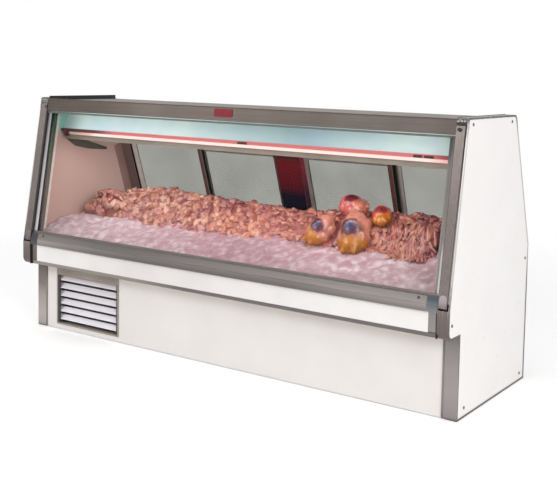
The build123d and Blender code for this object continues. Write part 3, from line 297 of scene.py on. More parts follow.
LAMP_TONES = [
    (0.02, (160, 146, 128)), (0.07, (236, 172, 166)), (0.09, (255, 228, 224)),
    (0.94, (255, 228, 224)), (0.985, (236, 172, 166)),
]
# Red of the lamp channel, with painted shade at its ends
CHANNEL_TONES = [
    (0.0, (96, 34, 34)), (0.11, (96, 34, 34)), (0.17, (234, 122, 122)), (0.93, (234, 122, 122)),
    (0.98, (160, 56, 64)),
]
# Warm enamel of the end walls, with painted light that lightens it towards the back
WALL_PAINTED_LIGHT_TONES = [(0.0, (188, 156, 147)), (0.4, (199, 167, 158)), (1.0, (235, 205, 198))]
LINING_TONES = [(0.35, (150, 204, 192)), (0.65, (166, 216, 204))]
OLIVE_TONES = [(0.0, (120, 112, 100)), (0.55, (96, 92, 76)), (0.86, (62, 78, 68)), (1.0, (34, 74, 60))]
ICE_TONES = [(0.32, (194, 165, 175)), (0.5, (206, 181, 190)), (0.66, (231, 219, 224))]
ICE_DEPTHS = [(0.0, (232, 228, 231)), (1.0, WHITE)]
FLESH_TONES = [
    (0.18, (107, 62, 59)), (0.32, (159, 95, 88)), (0.44, (191, 125, 113)),
    (0.56, (207, 147, 131)), (0.68, (221, 175, 155)), (0.82, (235, 205, 181)),
]
FLESH_CASTS = [
    (0.34, (236, 212, 226)), (0.45, (252, 247, 252)), (0.53, (255, 240, 220)),
    (0.58, (252, 247, 252)), (0.68, (255, 216, 214)),
]


def lamp_glow():
    """Lit tube: pinkish white, redder towards its ends."""
    material = new_material("lamp_glow", roughness=0.3, emission_strength=1.0)
    across = along_axis(material, "X", -LAMP_HALF, LAMP_HALF)
    colour_by(material, across, [(0.0, (110, 96, 92)), (1.0, (116, 102, 98))])
    colour_by(material, across, LAMP_TONES, "Emission Color")
    return material


def channel_red():
    """Red channel, with painted shade that darkens it towards its ends."""
    material = new_material("channel_red", roughness=0.4)
    colour_by(material, along_axis(material, "X", -INNER_HALF, INNER_HALF), CHANNEL_TONES)
    relief(material, grain(material, 420.0, 1.0), 0.00006)
    return material


def wall_paint():
    """End walls: warm enamel with painted light that makes them lighter towards the back, and a blue-green
    lining over the lamp.
    """
    material = new_material("wall_enamel")
    # Painted light: the enamel lightens towards the back of the case
    warm = ramp(material, along_axis(material, "Y", FRONT_Y + 0.05, FRONT_Y + 0.75), WALL_PAINTED_LIGHT_TONES)
    lining = ramp(material, grain(material, 6.0), LINING_TONES)
    above = along_axis(material, "Z", LAMP_Z, LAMP_Z + 0.02)
    feed(material, "Base Color", mixed(material, warm, lining, above))
    surface(material, 24.0, 0.34, 0.46, 420.0, 0.00006)
    return material


def olive_vinyl():
    """Strip that is dark green at its top and olive grey below."""
    material = new_material("olive_vinyl")
    colour_by(material, along_axis(material, "Z", 0.54, 1.21), OLIVE_TONES)
    surface(material, 30.0, 0.4, 0.55, 300.0, 0.0001)
    return material


def ice_look():
    """Crushed ice: cloudy white with a pink and lavender cast, wet and soft where light soaks in."""
    material = new_material(
        "crushed_ice", coat_weight=0.1, coat_roughness=0.2,
        subsurface_weight=0.8, subsurface_radius=(0.05, 0.042, 0.046),
    )
    colour_by(material, grain(material, 26.0, 5.0), ICE_TONES)
    multiplied(material, along_axis(material, "Y", FRONT_Y + 0.08, FRONT_Y + 0.30), ICE_DEPTHS)
    surface(material, 60.0, 0.3, 0.55, 170.0, 0.0007, 2.0)
    return material


def raw_flesh():
    """Raw pieces: each has a tone of its own, and flesh, skin and fat show in patches."""
    material = new_material(
        "raw_flesh", coat_weight=0.35, coat_roughness=0.15,
        subsurface_weight=0.1, subsurface_radius=(0.012, 0.004, 0.003),
    )
    both = combined(material, "ADD", point_value(material, "tone", "Fac"), grain(material, 30.0, 4.0))
    colour_by(material, carried(material, both, from_max=2.0), FLESH_TONES)
    multiplied(material, grain(material, 7.0, 2.0), FLESH_CASTS)
    surface(material, 80.0, 0.28, 0.5, 130.0, 0.0016, 3.0)
    return material


def film():
    """Tight plastic film over food, with fine wrinkles and the colour that each point of the food has."""
    material = new_material("wrap", coat_weight=0.4, coat_roughness=0.15, subsurface_weight=0.05)
    feed(material, "Base Color", point_value(material, "film_colour", "Color"))
    multiplied(material, grain(material, 26.0, 4.0), [(0.3, (196, 184, 180)), (0.7, WHITE)])
    roughness_by(material, grain(material, 70.0), 0.2, 0.36)
    relief(material, grain(material, 90.0, 3.0, (1.0, 0.3, 1.0)), 0.0024)
    return material


# Tables of finishes

# Paint, plastic and rubber: darker and lighter tone, roughness, height of the relief and patches in a metre
PAINTED = {
    "white_enamel": ((242, 239, 237), (245, 242, 240), 0.3),
    "apron_enamel": ((239, 236, 234), (245, 242, 240), 0.3),
    "base_enamel": ((233, 228, 225), (236, 232, 229)),
    "valance_enamel": ((214, 237, 250), (232, 252, 255), 0.4),
    "pan_enamel": ((150, 138, 128), (166, 152, 142), 0.45),
    "top_grey": ((124, 116, 110), (136, 128, 122), 0.55),
    "foam": ((206, 190, 150), (222, 208, 172), 0.85, 0.0008, 12.0),
    "door_frame": ((148, 140, 134), (162, 154, 148), 0.4, 0.0001, 12.0),
    # Outer door frames: a much lighter copy of the door frames' paint, painted light on frames that lie in
    # shade
    "outer_frame": ((238, 233, 228), (246, 242, 237), 0.4, 0.0001, 12.0),
    "post_paint": ((122, 98, 93), (138, 112, 106), 0.45),
    "return_brown": ((168, 134, 126), (182, 148, 138), 0.45),
    "seal_brown": ((110, 62, 62), (126, 78, 75), 0.5, 0.0002, 40.0),
    "seal_black": ((6, 7, 8), (12, 13, 14), 0.7),
    "rubber": ((22, 20, 19), (34, 31, 30), 0.6, 0.0003, 60.0),
    # Brackets under the drip pan: dark olive that paints the pan's shadow on the end walls
    "bracket_olive": ((70, 70, 58), (88, 88, 76), 0.5, 0.0001, 30.0),
    "clip_maroon": ((62, 20, 22), (78, 28, 30), 0.5, 0.0001, 40.0),
    "seam_brown": ((66, 54, 48), (82, 70, 62), 0.6, 0.0002, 40.0),
    "pale_vinyl": ((214, 206, 200), (226, 220, 214), 0.45, 0.0001, 30.0),
    "slate_vinyl": ((86, 88, 84), (100, 102, 98), 0.5, 0.0001, 30.0),
    "knob_black": ((18, 17, 18), (30, 29, 30), 0.3, 0.0001, 80.0),
    "plate_red": ((116, 14, 30), (136, 22, 38), 0.4, 0.00005, 40.0),
    "louvre_paint": ((238, 234, 240), (246, 242, 248), 0.36),
    "grille_trim": ((150, 138, 128), (168, 156, 146), 0.45),
    "black_enamel": ((24, 24, 26), (38, 38, 40), 0.4, 0.0002, 20.0),
    "frame_paint": ((96, 98, 100), (116, 118, 120), 0.5, 0.0002, 12.0),
    "rear_paint": ((200, 200, 198), (206, 206, 204), 0.42, 0.0001),
}

# Bare metal: darker and lighter tone, axis of the scratches and roughness
BRUSHED = {
    "header_steel": ((79, 71, 66), (93, 85, 80), "X"),
    "stile_steel": ((110, 101, 98), (130, 121, 117), "Z"),
    "rear_steel": ((128, 122, 117), (158, 151, 146), "X"),
    "liner_steel": ((150, 146, 143), (182, 178, 174), "X", 0.42),
    "screw_steel": ((92, 90, 90), (128, 126, 124), "X", 0.4),
    "coil_metal": ((130, 132, 134), (176, 178, 180), "X", 0.45),
    "copper": ((150, 88, 60), (190, 118, 84), "Z", 0.35),
}

# The same with tones that change with height: the span, the tones from its foot up and the scratches' axis
GRADED = {
    # Front sill: tones by height that paint its reflections, with a lighter front face and a darker upper
    # facet
    "sill_steel": (
        (0.48, 0.55),
        [(0.0, (132, 125, 122)), (0.40, (162, 156, 153)), (0.50, (124, 118, 115)), (1.0, (110, 104, 101))],
        "X",
    ),
    # End trims: bright over the slope as painted reflection, dark at the top edge as painted shade, and darker
    # at the nose
    "trim_steel": (
        (0.36, 1.29),
        [
            (0.0, (104, 94, 91)), (0.13, (118, 108, 104)), (0.16, (146, 137, 133)), (0.30, (200, 194, 190)),
            (0.90, (200, 194, 190)), (0.975, (140, 134, 131)), (0.99, (72, 72, 72)),
        ],
        "Z",
    ),
}

# Tones that change with height: the span, the tones from its foot up left and right of a seam, roughness
# and the seam. Where there is one list of tones, both sides have it.
SIDED = {
    # Left of the seam the apron's end cap is darker, painted shade, and its lip lighter, painted reflection of
    # the steel
    "cap_steel": (
        (0.37, 0.48),
        [(0.0, (142, 135, 131)), (0.20, (148, 140, 136)), (0.26, (116, 104, 99)), (1.0, (124, 112, 107))],
        [(0.0, (109, 103, 105)), (0.20, (114, 108, 109)), (0.26, (146, 141, 138)), (1.0, (138, 133, 130))],
        0.34, (-0.47, -0.19),
    ),
    # Tones of the posts paint light and shade: lighter highlights on the left post, dark at the top in the
    # shade under the apron's lip and dark at the foot
    "post_steel": (
        (0.0, 0.37),
        [
            (0.0, (104, 95, 90)), (0.04, (168, 160, 154)), (0.2, (176, 168, 162)), (0.5, (156, 147, 142)),
            (0.66, (128, 119, 114)), (0.86, (112, 103, 98)), (1.0, (84, 76, 72)),
        ],
        [
            (0.0, (100, 90, 94)), (0.04, (146, 138, 141)), (0.3, (155, 147, 148)), (0.6, (150, 142, 141)),
            (0.86, (132, 128, 126)), (1.0, (108, 105, 104)),
        ],
        0.34,
    ),
    # Edge strips of the posts: painted shade, dark at the top under the apron's lip and at the foot
    "post_seal": (
        (0.0, 0.37),
        [(0.0, (84, 76, 74)), (0.1, (128, 121, 117)), (0.6, (132, 126, 122)), (0.86, (108, 100, 96))],
    ),
    # Painted reflection on the mullion and the edge of door 2: dark red of the red lamp and food, blue-black
    # at the foot
    "mullion_red": (
        (0.72, 1.03),
        [
            (0.0, (10, 8, 32)), (0.2, (18, 11, 42)), (0.36, (106, 16, 34)),
            (0.78, (140, 20, 40)), (0.92, (88, 36, 34)),
        ],
    ),
    # Painted red reflection on the edge of door 3, blue-black at the foot
    "seal_crimson": ((0.72, 1.03), [(0.0, (16, 10, 34)), (0.3, (78, 14, 46)), (0.7, (150, 26, 58))]),
    # Grey that paints light into the dark pocket gaps beside the stiles; at the right end, painted shade
    # darkening to black towards the top
    "gap_seal": (
        (0.49, 1.27),
        [(0.0, (150, 145, 142)), (1.0, (136, 130, 126))],
        [
            (0.0, (150, 142, 142)), (0.40, (150, 142, 140)), (0.62, (112, 102, 98)),
            (0.78, (58, 50, 48)), (0.88, (18, 15, 15)),
        ],
    ),
    # Grey at the left end and, at the right end, black that paints the shadow gap above the stile
    "stop_paint": (
        (1.2, 1.3),
        [(0.0, (118, 111, 107)), (1.0, (112, 105, 101))],
        [(0.0, (20, 18, 18)), (1.0, (24, 22, 22))],
    ),
    # Painted shade on the flange edging: dark on the left end's flange, and at the right end a dark top in the
    # shadow of the valance
    "edging_vinyl": (
        (0.55, 1.21),
        [
            (0.0, (58, 48, 62)), (0.10, (92, 80, 90)), (0.40, (104, 98, 100)),
            (0.55, (104, 106, 92)), (0.80, (88, 98, 84)), (0.92, (24, 66, 54)),
        ],
        [(0.0, (172, 160, 160)), (0.80, (150, 141, 134)), (0.88, (84, 82, 80))],
    ),
    # Pale beads: a painted highlight along the stiles' inner edges, brightest low down at the right end and
    # darker higher up
    "bead_vinyl": (
        (0.55, 1.21),
        [(0.0, (206, 200, 204)), (0.5, (186, 180, 184)), (1.0, (146, 142, 144))],
        [
            (0.0, (228, 222, 218)), (0.24, (216, 208, 204)), (0.34, (152, 143, 139)),
            (0.85, (136, 127, 122)), (0.92, (100, 98, 96)),
        ],
    ),
    "pivot_plastic": (
        (0.48, 0.545),
        [(0.0, (70, 68, 74)), (0.6, (26, 26, 36))],
        [(0.0, (128, 122, 122)), (0.45, (98, 100, 108)), (0.80, (44, 60, 68))],
        0.4,
    ),
    # Caps darker towards the foot: painted shade on their lower part
    "pivot_disc": (
        (0.5, 0.56),
        [(0.0, (88, 82, 86)), (1.0, (120, 113, 114))],
        [(0.0, (116, 98, 106)), (0.45, (158, 142, 147)), (1.0, (172, 160, 164))],
        0.4,
    ),
}

# Shader values that some of these finishes have besides
SOCKETS = {
    "white_enamel": {"coat_weight": 0.2},
    "base_enamel": {"coat_weight": 0.15},
    "top_grey": {"specular_ior_level": 0.2},
    "seal_black": {"specular_ior_level": 0.1},
    "plate_red": {"specular_ior_level": 0.2},
    "mullion_red": {"specular_ior_level": 0.15},
    "cap_steel": {"metallic": 1.0},
    "post_steel": {"metallic": 1.0},
}

# Tones that multiply a finish, from the left end of the case to its right end. On the sill, apron, valance,
# header and ice they are painted light and shade along the case; on the food they are a drift of its tone.
SHADES = {
    "sill_steel": [
        (0.0, WHITE), (0.2, (206, 207, 210)), (0.32, (192, 192, 195)), (0.7, (200, 200, 202)),
        (1.0, (244, 243, 243)),
    ],
    "apron_enamel": [(0.0, WHITE), (0.3, (240, 238, 237)), (0.9, WHITE)],
    "valance_enamel": [(0.25, WHITE), (0.62, (184, 198, 205)), (0.93, (250, 249, 252))],
    "header_steel": [(0.35, WHITE), (0.66, (227, 232, 234)), (0.92, (246, 247, 250))],
    "ice": [(0.1, WHITE), (0.5, (222, 203, 206)), (0.85, (250, 246, 247))],
    "raw_flesh": [(0.15, (241, 250, 255)), (0.5, (253, 249, 249)), (0.8, (251, 246, 245))],
}


def make_finishes():
    """Every finish, by name."""
    made = {
        "wall_enamel": wall_paint(),
        "channel_red": channel_red(),
        "lamp_glow": lamp_glow(),
        "olive_vinyl": olive_vinyl(),
        "front_glass": thin_glass("front_glass", (250, 252, 251)),
        "door_glass": thin_glass("door_glass", (207, 206, 203), (199, 198, 195)),
        "ice": ice_look(),
        "raw_flesh": raw_flesh(),
        "wrap": film(),
    }
    for make, table in ((painted, PAINTED), (brushed, BRUSHED), (graded_steel, GRADED), (sided, SIDED)):
        for name, values in table.items():
            made[name] = make(name, *values, **SOCKETS.get(name, {}))
    for name, stops in SHADES.items():
        multiplied(made[name], along_axis(made[name], "X", -INNER_HALF, INNER_HALF), stops)
    return made


LOOKS = make_finishes()

# CAD nodes of each finish
NODE_LOOKS = {
    "white_enamel": "left_end_panel right_end_panel",
    "apron_enamel": "front_apron",
    "base_enamel": "front_base_panel",
    "wall_enamel": "left_end_wall right_end_wall",
    "trim_steel": "left_end_trim right_end_trim",
    "post_steel": "base_posts",
    "top_grey": "top_panel",
    "header_steel": "front_header",
    "sill_steel": "front_sill",
    "cap_steel": "apron_trim",
    "stile_steel": "front_glass_frame",
    "rear_steel": "rear_sill upper_door_track rear_header",
    "liner_steel": "tub_liner deck_pans drain_pipe pivot_pins",
    "foam": "tub_insulation canopy_insulation",
    "valance_enamel": "lamp_valance",
    "channel_red": "lamp_channel",
    "pan_enamel": "coil_drip_pan",
    "front_glass": "front_glass",
    "post_paint": "rear_posts",
    "door_frame": "rear_door_2_frame rear_door_3_frame",
    "outer_frame": "rear_door_1_frame rear_door_4_frame",
    "door_glass": "rear_door_1_pane rear_door_2_pane rear_door_3_pane rear_door_4_pane",
    "gap_seal": "front_glass_seals",
    "screw_steel": "end_panel_screws",
    "stop_paint": "retaining_screws",
    "knob_black": "light_switch thermostat_knob",
    "pivot_plastic": "pivot_blocks",
    "plate_red": "header_plate",
    "lamp_glow": "lamp_tube",
    "louvre_paint": "grille_louvres",
    "grille_trim": "grille_frame",
    "coil_metal": "cooling_coil fan_blade",
    "black_enamel": "condenser_coil compressor fan_motor fan_shroud",
    "copper": "refrigerant_lines",
    "frame_paint": "base_frame",
    "rear_paint": "rear_panel control_box",
    "ice": "ice_bed",
    "raw_flesh": "left_food_heap middle_food_heap right_food_heap",
}


def dress_nodes():
    """Give every CAD node its finish."""
    for look, names in NODE_LOOKS.items():
        for name in names.split():
            mesh = NODES[name].data
            mesh.materials.clear()
            mesh.materials.append(LOOKS[look])


# Building blocks of the pieces: a shape is a list of vertices and a list of faces

def add_piece(name, shape, look, body="case", smooth=False):
    """A new piece from a shape, that rides a body."""
    vertices, faces = shape
    mesh = bpy.data.meshes.new(name)
    mesh.from_pydata([tuple(v) for v in vertices], [], [tuple(f) for f in faces])
    mesh.validate()
    mesh.materials.append(LOOKS[look])
    if smooth:
        mesh.shade_smooth()
    piece = bpy.data.objects.new(name, mesh)
    bpy.context.scene.collection.objects.link(piece)
    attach(piece, body)
    return piece


def joined(shapes):
    """Several shapes as one."""
    vertices, faces = [], []
    for some_vertices, some_faces in shapes:
        start = len(vertices)
        vertices.extend(some_vertices)
        faces.extend([[index + start for index in face] for face in some_faces])
    return vertices, faces


def skinned(rings):
    """A closed shape through rings of as many points, with flat ends and faces that look outwards."""
    count = len(rings[0])
    vertices = [point for ring in rings for point in ring]
    last = len(vertices) - count
    faces = [list(range(count))[::-1], list(range(last, last + count))]
    for start in range(0, last, count):
        for here in range(count):
            after = (here + 1) % count
            faces.append([start + here, start + after, start + count + after, start + count + here])
    work = bmesh.new()
    points = [work.verts.new(v) for v in vertices]
    for face in faces:
        work.faces.new([points[index] for index in face])
    bmesh.ops.recalc_face_normals(work, faces=work.faces)
    work.verts.index_update()
    shape = [v.co[:] for v in work.verts], [[v.index for v in face.verts] for face in work.faces]
    work.free()
    return shape


def rail(section, x_start, x_end):
    """A straight bar along X with a section of Y and Z points."""
    return skinned([[(x, y, z) for y, z in section] for x in (x_start, x_end)])


def bar(place, x_start, x_end, low, high, near, far):
    """A bar along X between two levels and two depths of a place: front, rear or upright."""
    corners = [(low, near), (high, near), (high, far), (low, far)]
    return rail([place(*corner) for corner in corners], x_start, x_end)


def mirrored(low, high):
    """A span along X at the right end and its mirror at the left end."""
    return [(low, high), (-high, -low)]


def turned(profile, centre, axis, segments=24):
    """A round shape: a profile of (radius, height) pairs turned about an axis through its centre."""
    aim = Vector(axis).to_track_quat("Z", "Y").to_matrix()
    angles = [2 * math.pi * step / segments for step in range(segments)]
    rings = [
        [Vector((radius * math.cos(angle), radius * math.sin(angle), height)) for angle in angles]
        for radius, height in profile
    ]
    return skinned([[tuple(Vector(centre) + aim @ point) for point in ring] for ring in rings])


def screw_head(centre, axis, radius, height=0.0025):
    """A low domed screw head."""
    profile = [(radius, 0.0), (radius, 0.4 * height), (0.8 * radius, 0.85 * height), (0.4 * radius, height)]
    return turned(profile, centre, axis)


# Strips

GLASS_DOOR = "front_glass_door"
PANE = (0.066, 0.718)
FLANGE = (0.056, 0.726)
HEADER_SPAN = (-1.2385, 1.2385)
WALL_SPANS = mirrored(1.2385, INNER_HALF)
PANEL_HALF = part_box("front_base_panel")[1][0]
# Levels of the rear strips, and their depths on the outer doors, the inner doors and the posts
REAR_LEVELS = (0.034, 0.384)
OUTER_FACE = (*REAR_LEVELS, 0.024, 0.0254)
INNER_FACE = (*REAR_LEVELS, 0.042, 0.0434)
POST_FACE = (*REAR_LEVELS, 0.046, 0.0474)
# Name, finish, slot and body of the strips, and the face that they lie on. Then for each lot of them
# the spans along X, and the low and high level and near and far depth on that face.
STRIPS = [
    ("glazing_gaskets", "rubber", "seal_rubber", GLASS_DOOR, front,
     ([(-1.241, -1.232), (1.2388, 1.241)], (*PANE, 0.001, 0.016))),
    ("rail_gasket", "slate_vinyl", "seal_rubber", GLASS_DOOR, front,
     ([(-1.2388, 1.2388)], (0.718, 0.726, 0.0098, 0.012))),
    ("glazing_beads", "bead_vinyl", "seal_rubber", GLASS_DOOR, front,
     ([(-1.232, -1.2105), (1.2238, 1.2388)], (*PANE, 0.0145, 0.016))),
    ("sill_wiper", "slate_vinyl", "seal_rubber", "case", front,
     ([HEADER_SPAN], (0.0515, 0.0572, 0.012, 0.020))),
    ("breaker_strips", "olive_vinyl", "seal_rubber", "case", front, (WALL_SPANS, (*FLANGE, 0.034, 0.084))),
    ("breaker_beads", "pale_vinyl", "white_wall", "case", front, (WALL_SPANS, (*FLANGE, 0.084, 0.100))),
    ("flange_edging", "edging_vinyl", "seal_rubber", "case", front,
     ([(-1.2385, -1.198), (1.205, 1.216)], (*FLANGE, 0.0285, 0.0297))),
    # Strips in the pockets beside the stiles: painted light over the gap's shade, with painted shade at the
    # top of the right end
    ("pocket_strips", "gap_seal", "seal_rubber", "case", front,
     (mirrored(1.2825, 1.2885), (0.030, 0.768, 0.003, 0.0045))),
    ("header_seam", "seam_brown", "seal_rubber", "case", front,
     ([HEADER_SPAN], (0.7925, 0.7975, 0.0028, 0.0041))),
    # Stops over the stiles; their black at the right end paints the shadow gap there
    ("stile_stops", "stop_paint", "seal_rubber", "case", front,
     (mirrored(1.2415, 1.2885), (0.772, 0.7835, 0.002, 0.028))),
    # Black strips along the inner tops of the end walls: painted shade where the walls stand above the top
    # panel
    ("top_edge_strips", "rubber", "seal_rubber", "case", upright,
     (WALL_SPANS[1:], (1.2722, 1.2945, 0.139, 0.648)), (WALL_SPANS[:1], (1.2722, 1.2875, 0.139, 0.648))),
    ("nose_beads", "rubber", "seal_rubber", "case", upright,
     (mirrored(1.2302, 1.2398), (0.372, 0.479, 0.010, 0.012)),
     (mirrored(1.195, 1.230), (0.392, 0.395, 0.011, 0.012)),
     (mirrored(1.2383, 1.2398), (0.372, 0.492, 0.0005, 0.010))),
    ("lamp_clips", "clip_maroon", "black_knob", "case", upright,
     ([(-1.155, -1.076), (0.018, 0.074), (0.994, 1.036), (1.048, 1.092)], (1.0965, 1.1085, 0.218, 0.222))),
    # Strip on the mullion's face that carries its painted red reflection
    ("mullion_face", "mullion_red", "dark_post", "case", rear, ([(-0.0595, 0.0595)], POST_FACE)),
    ("door_1_seal", "seal_black", "seal_rubber", "rear_door_1", rear, ([(-1.192, -1.176)], OUTER_FACE)),
    ("door_2_brush", "seal_brown", "door_frame", "rear_door_2", rear, ([(-0.645, -0.623)], INNER_FACE)),
    ("door_2_seal", "seal_black", "seal_rubber", "rear_door_2", rear, ([(-0.616, -0.597)], INNER_FACE)),
    ("door_2_lip", "seam_brown", "door_frame", "rear_door_2", rear, ([(-0.1105, -0.098)], INNER_FACE)),
    ("door_2_edge", "mullion_red", "door_frame", "rear_door_2", rear, ([(-0.098, -0.062)], INNER_FACE)),
    ("door_3_edge", "seal_crimson", "door_frame", "rear_door_3", rear, ([(0.062, 0.088)], INNER_FACE)),
    ("door_3_brush", "seal_brown", "door_frame", "rear_door_3", rear, ([(0.597, 0.620)], INNER_FACE)),
    ("door_3_seal", "seal_black", "seal_rubber", "rear_door_3", rear, ([(0.624, 0.6455)], INNER_FACE)),
    ("door_4_seal", "seal_black", "seal_rubber", "rear_door_4", rear, ([(1.176, 1.192)], OUTER_FACE)),
    ("jamb_returns", "return_brown", "dark_post", "case", rear, (WALL_SPANS, (*REAR_LEVELS, 0.0465, 0.106))),
    # Black strips inside the grille's opening: painted shade on the frame's inner sides
    ("grille_side_strips", "black_enamel", "grille_trim", "case", upright,
     ([(-1.1355, -1.118), (-0.690, -0.6825)], (0.0385, 0.3075, 0.1080, 0.1115))),
    ("post_edges", "post_seal", "seal_rubber", "case", upright,
     (mirrored(PANEL_HALF, PANEL_HALF + 0.008), (0.010, 0.362, 0.1055, 0.107))),
]


def add_strips():
    """Gaskets, seals, beads, edge strips, stops and clips, and strips that carry painted shade and painted
    reflection.
    """
    for name, look, slot, body, place, *lots in STRIPS:
        bars = [bar(place, *span, *sizes) for spans, sizes in lots for span in spans]
        add_piece(name, joined(bars), look, body)


# Other trim

STILE_MIDDLE = 1.2615
CAP_FOOT, CAP_TOP, CAP_HALF, CAP_THICK = 0.010, 0.064, 0.017, 0.0006


def oval_plate(middle, half, foot, top, thick, segments=16):
    """A plate with round ends, laid on the leaning front."""
    turns = [math.pi * step / segments for step in range(segments + 1)]
    outline = [(middle + half * math.cos(turn), top - half + half * math.sin(turn)) for turn in turns]
    outline += [(middle - half * math.cos(turn), foot + half - half * math.sin(turn)) for turn in turns]
    return skinned([[(x, *front(up, inward)) for x, up in outline] for inward in (-thick, 0.0)])


def add_pivot_caps():
    """Oval caps over the pivots, at the feet of the stiles."""
    caps = [oval_plate(side * STILE_MIDDLE, CAP_HALF, CAP_FOOT, CAP_TOP, CAP_THICK) for side in (-1, 1)]
    add_piece("pivot_caps", joined(caps), "pivot_disc", GLASS_DOOR)


END_RADIUS, END_LENGTH, END_EDGE = 0.0086, 0.014, 0.001
SHADOW_BRACKET_SPANS = mirrored(1.2365, 1.2395)
# Depth and height of the brackets under the drip pan, whose dark olive paints the pan's shadow on the end
# walls
SHADOW_BRACKET_OUTLINE = [
    (0.262, 1.0505), (0.416, 1.034), (0.577, 0.986), (0.577, 0.972), (0.430, 0.984), (0.330, 1.006),
]


def add_lamp_trim():
    """Metal ends of the lamp, and brackets under the drip pan in a dark olive that paints the pan's shadow on
    the end walls.
    """
    profile = [
        (LAMP_RADIUS, 0.0), (END_RADIUS, END_EDGE),
        (END_RADIUS, END_LENGTH - END_EDGE), (LAMP_RADIUS, END_LENGTH),
    ]
    starts = (-LAMP_HALF, LAMP_HALF - END_LENGTH)
    ends = [turned(profile, (start, LAMP_Y, LAMP_Z), (1, 0, 0)) for start in starts]
    add_piece("lamp_caps", joined(ends), "screw_steel", smooth=True)
    outline = [(FRONT_Y + depth, height) for depth, height in SHADOW_BRACKET_OUTLINE]
    brackets = [rail(outline, *span) for span in SHADOW_BRACKET_SPANS]
    # Dark olive brackets: painted shadow of the drip pan on the end walls
    add_piece("pan_shadow_brackets", joined(brackets), "bracket_olive")


SCREW_RADIUS = 0.006
SILL_SCREW_X, SILL_SCREW_UP, SILL_SCREW_INWARD = 1.147, 0.040, 0.0051
SILL_FACE_LEAN = math.atan2(0.005, 0.032)
REAR_SCREW_X = (-1.2, -0.6, 0.0, 0.6, 1.2)
HEADER_SCREW_UP, HEADER_FACE = (0.425, 0.640), 0.002
PANEL_SCREW_EDGE = 0.025


def add_screws():
    """Screws of the front sill, the rear header and the panel below the rear doors."""
    lean = FRONT_LEAN + SILL_FACE_LEAN
    axis = (0.0, -math.cos(lean), math.sin(lean))
    place = front(SILL_SCREW_UP, SILL_SCREW_INWARD)
    heads = [screw_head((side * SILL_SCREW_X, *place), axis, SCREW_RADIUS) for side in (-1, 1)]
    add_piece("sill_screws", joined(heads), "knob_black")
    axis = (0.0, math.cos(REAR_LEAN), math.sin(REAR_LEAN))
    places = [((x, *rear(up, HEADER_FACE)), axis) for up in HEADER_SCREW_UP for x in REAR_SCREW_X]
    low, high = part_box("rear_panel")
    levels = (low[2] + PANEL_SCREW_EDGE, high[2] - PANEL_SCREW_EDGE)
    places += [((x, high[1], z), (0.0, 1.0, 0.0)) for z in levels for x in REAR_SCREW_X]
    heads = [screw_head(*place, SCREW_RADIUS) for place in places]
    add_piece("rear_screws", joined(heads), "screw_steel")


CONTROL_UP, CONTROL_FACE = 0.515, -0.020
DIAL_MARKS, DIAL_SWEEP = 10, math.radians(270)
MARK_INNER, MARK_OUTER, MARK_HALF, MARK_HEIGHT = 0.0235, 0.0295, 0.0007, 0.0005
LINE_INNER, LINE_OUTER, LINE_HALF, POINTER_HEIGHT = 0.003, 0.018, 0.0012, 0.019


def dial_bar(turn, inner, outer, half, level):
    """A thin bar that points away from the knob's axis, at a turn from straight up and on a level."""
    low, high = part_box("thermostat_knob")
    middle = (low[0] + high[0]) / 2
    along = np.array((math.sin(turn), math.cos(turn)))
    across = half * np.array((along[1], -along[0]))
    ring = [inner * along - across, outer * along - across, outer * along + across, inner * along + across]
    levels = (level, level - MARK_HEIGHT)
    return skinned([[(middle + x, *rear(CONTROL_UP + up, place)) for x, up in ring] for place in levels])


def add_dial_marks():
    """Plain marks around the thermostat's knob, over its travel, and a pale line on the knob's pointer."""
    turns = np.linspace(0.0, DIAL_SWEEP, DIAL_MARKS)
    marks = [dial_bar(turn, MARK_INNER, MARK_OUTER, MARK_HALF, CONTROL_FACE) for turn in turns]
    add_piece("dial_marks", joined(marks), "knob_black")
    line = dial_bar(0.0, LINE_INNER, LINE_OUTER, LINE_HALF, CONTROL_FACE - POINTER_HEIGHT)
    add_piece("pointer_line", line, "pale_vinyl", "knob")


# Ice

# Depth and height of the bed's surface at its front, its bend and its back
ICE_PROFILE = [(0.046, 0.496), (0.400, 0.620), (0.770, 0.650)]
# The same where ice is banked up at the ends, with the places along X of the bank's full height and its end
ICE_BANKS = [
    (-1.24, -1.02, [(0.046, 0.520), (0.121, 0.566), (0.223, 0.608), (0.400, 0.618), (0.770, 0.650)]),
    (1.04, 0.97, [(0.046, 0.498), (0.300, 0.592), (0.400, 0.640), (0.520, 0.666), (0.770, 0.676)]),
]
DECK_SLOPE = 0.18
ICE_STEP = 0.008
ICE_MARGIN = 0.003
# Swells: waves in a metre along X and along Y, and share of the height
ICE_SWELL = 0.014
ICE_WAVES = [(5.0, 7.0, 1.0), (16.0, 18.0, 0.6)]
# Width and height of the lumps
ICE_LUMPS = [(0.062, 0.011), (0.031, 0.008), (0.017, 0.004)]


def ice_height(x, y):
    """Height of the bed of ice, with its swells and lumps."""
    depth = y - FRONT_Y
    height = np.interp(depth, *zip(*ICE_PROFILE))
    for full, end, profile in ICE_BANKS:
        share = min(max((end - x) / (end - full), 0.0), 1.0)
        height += share * (np.interp(depth, *zip(*profile)) - height)
    for along, across, share in ICE_WAVES:
        height += ICE_SWELL * share * noise.noise(Vector((x * along, y * across, along)))
    for width, rise in ICE_LUMPS:
        nearest = noise.voronoi(Vector((x, y, 0.0)) / width)[0][0]
        height += rise * (0.5 - nearest * nearest)
    return height


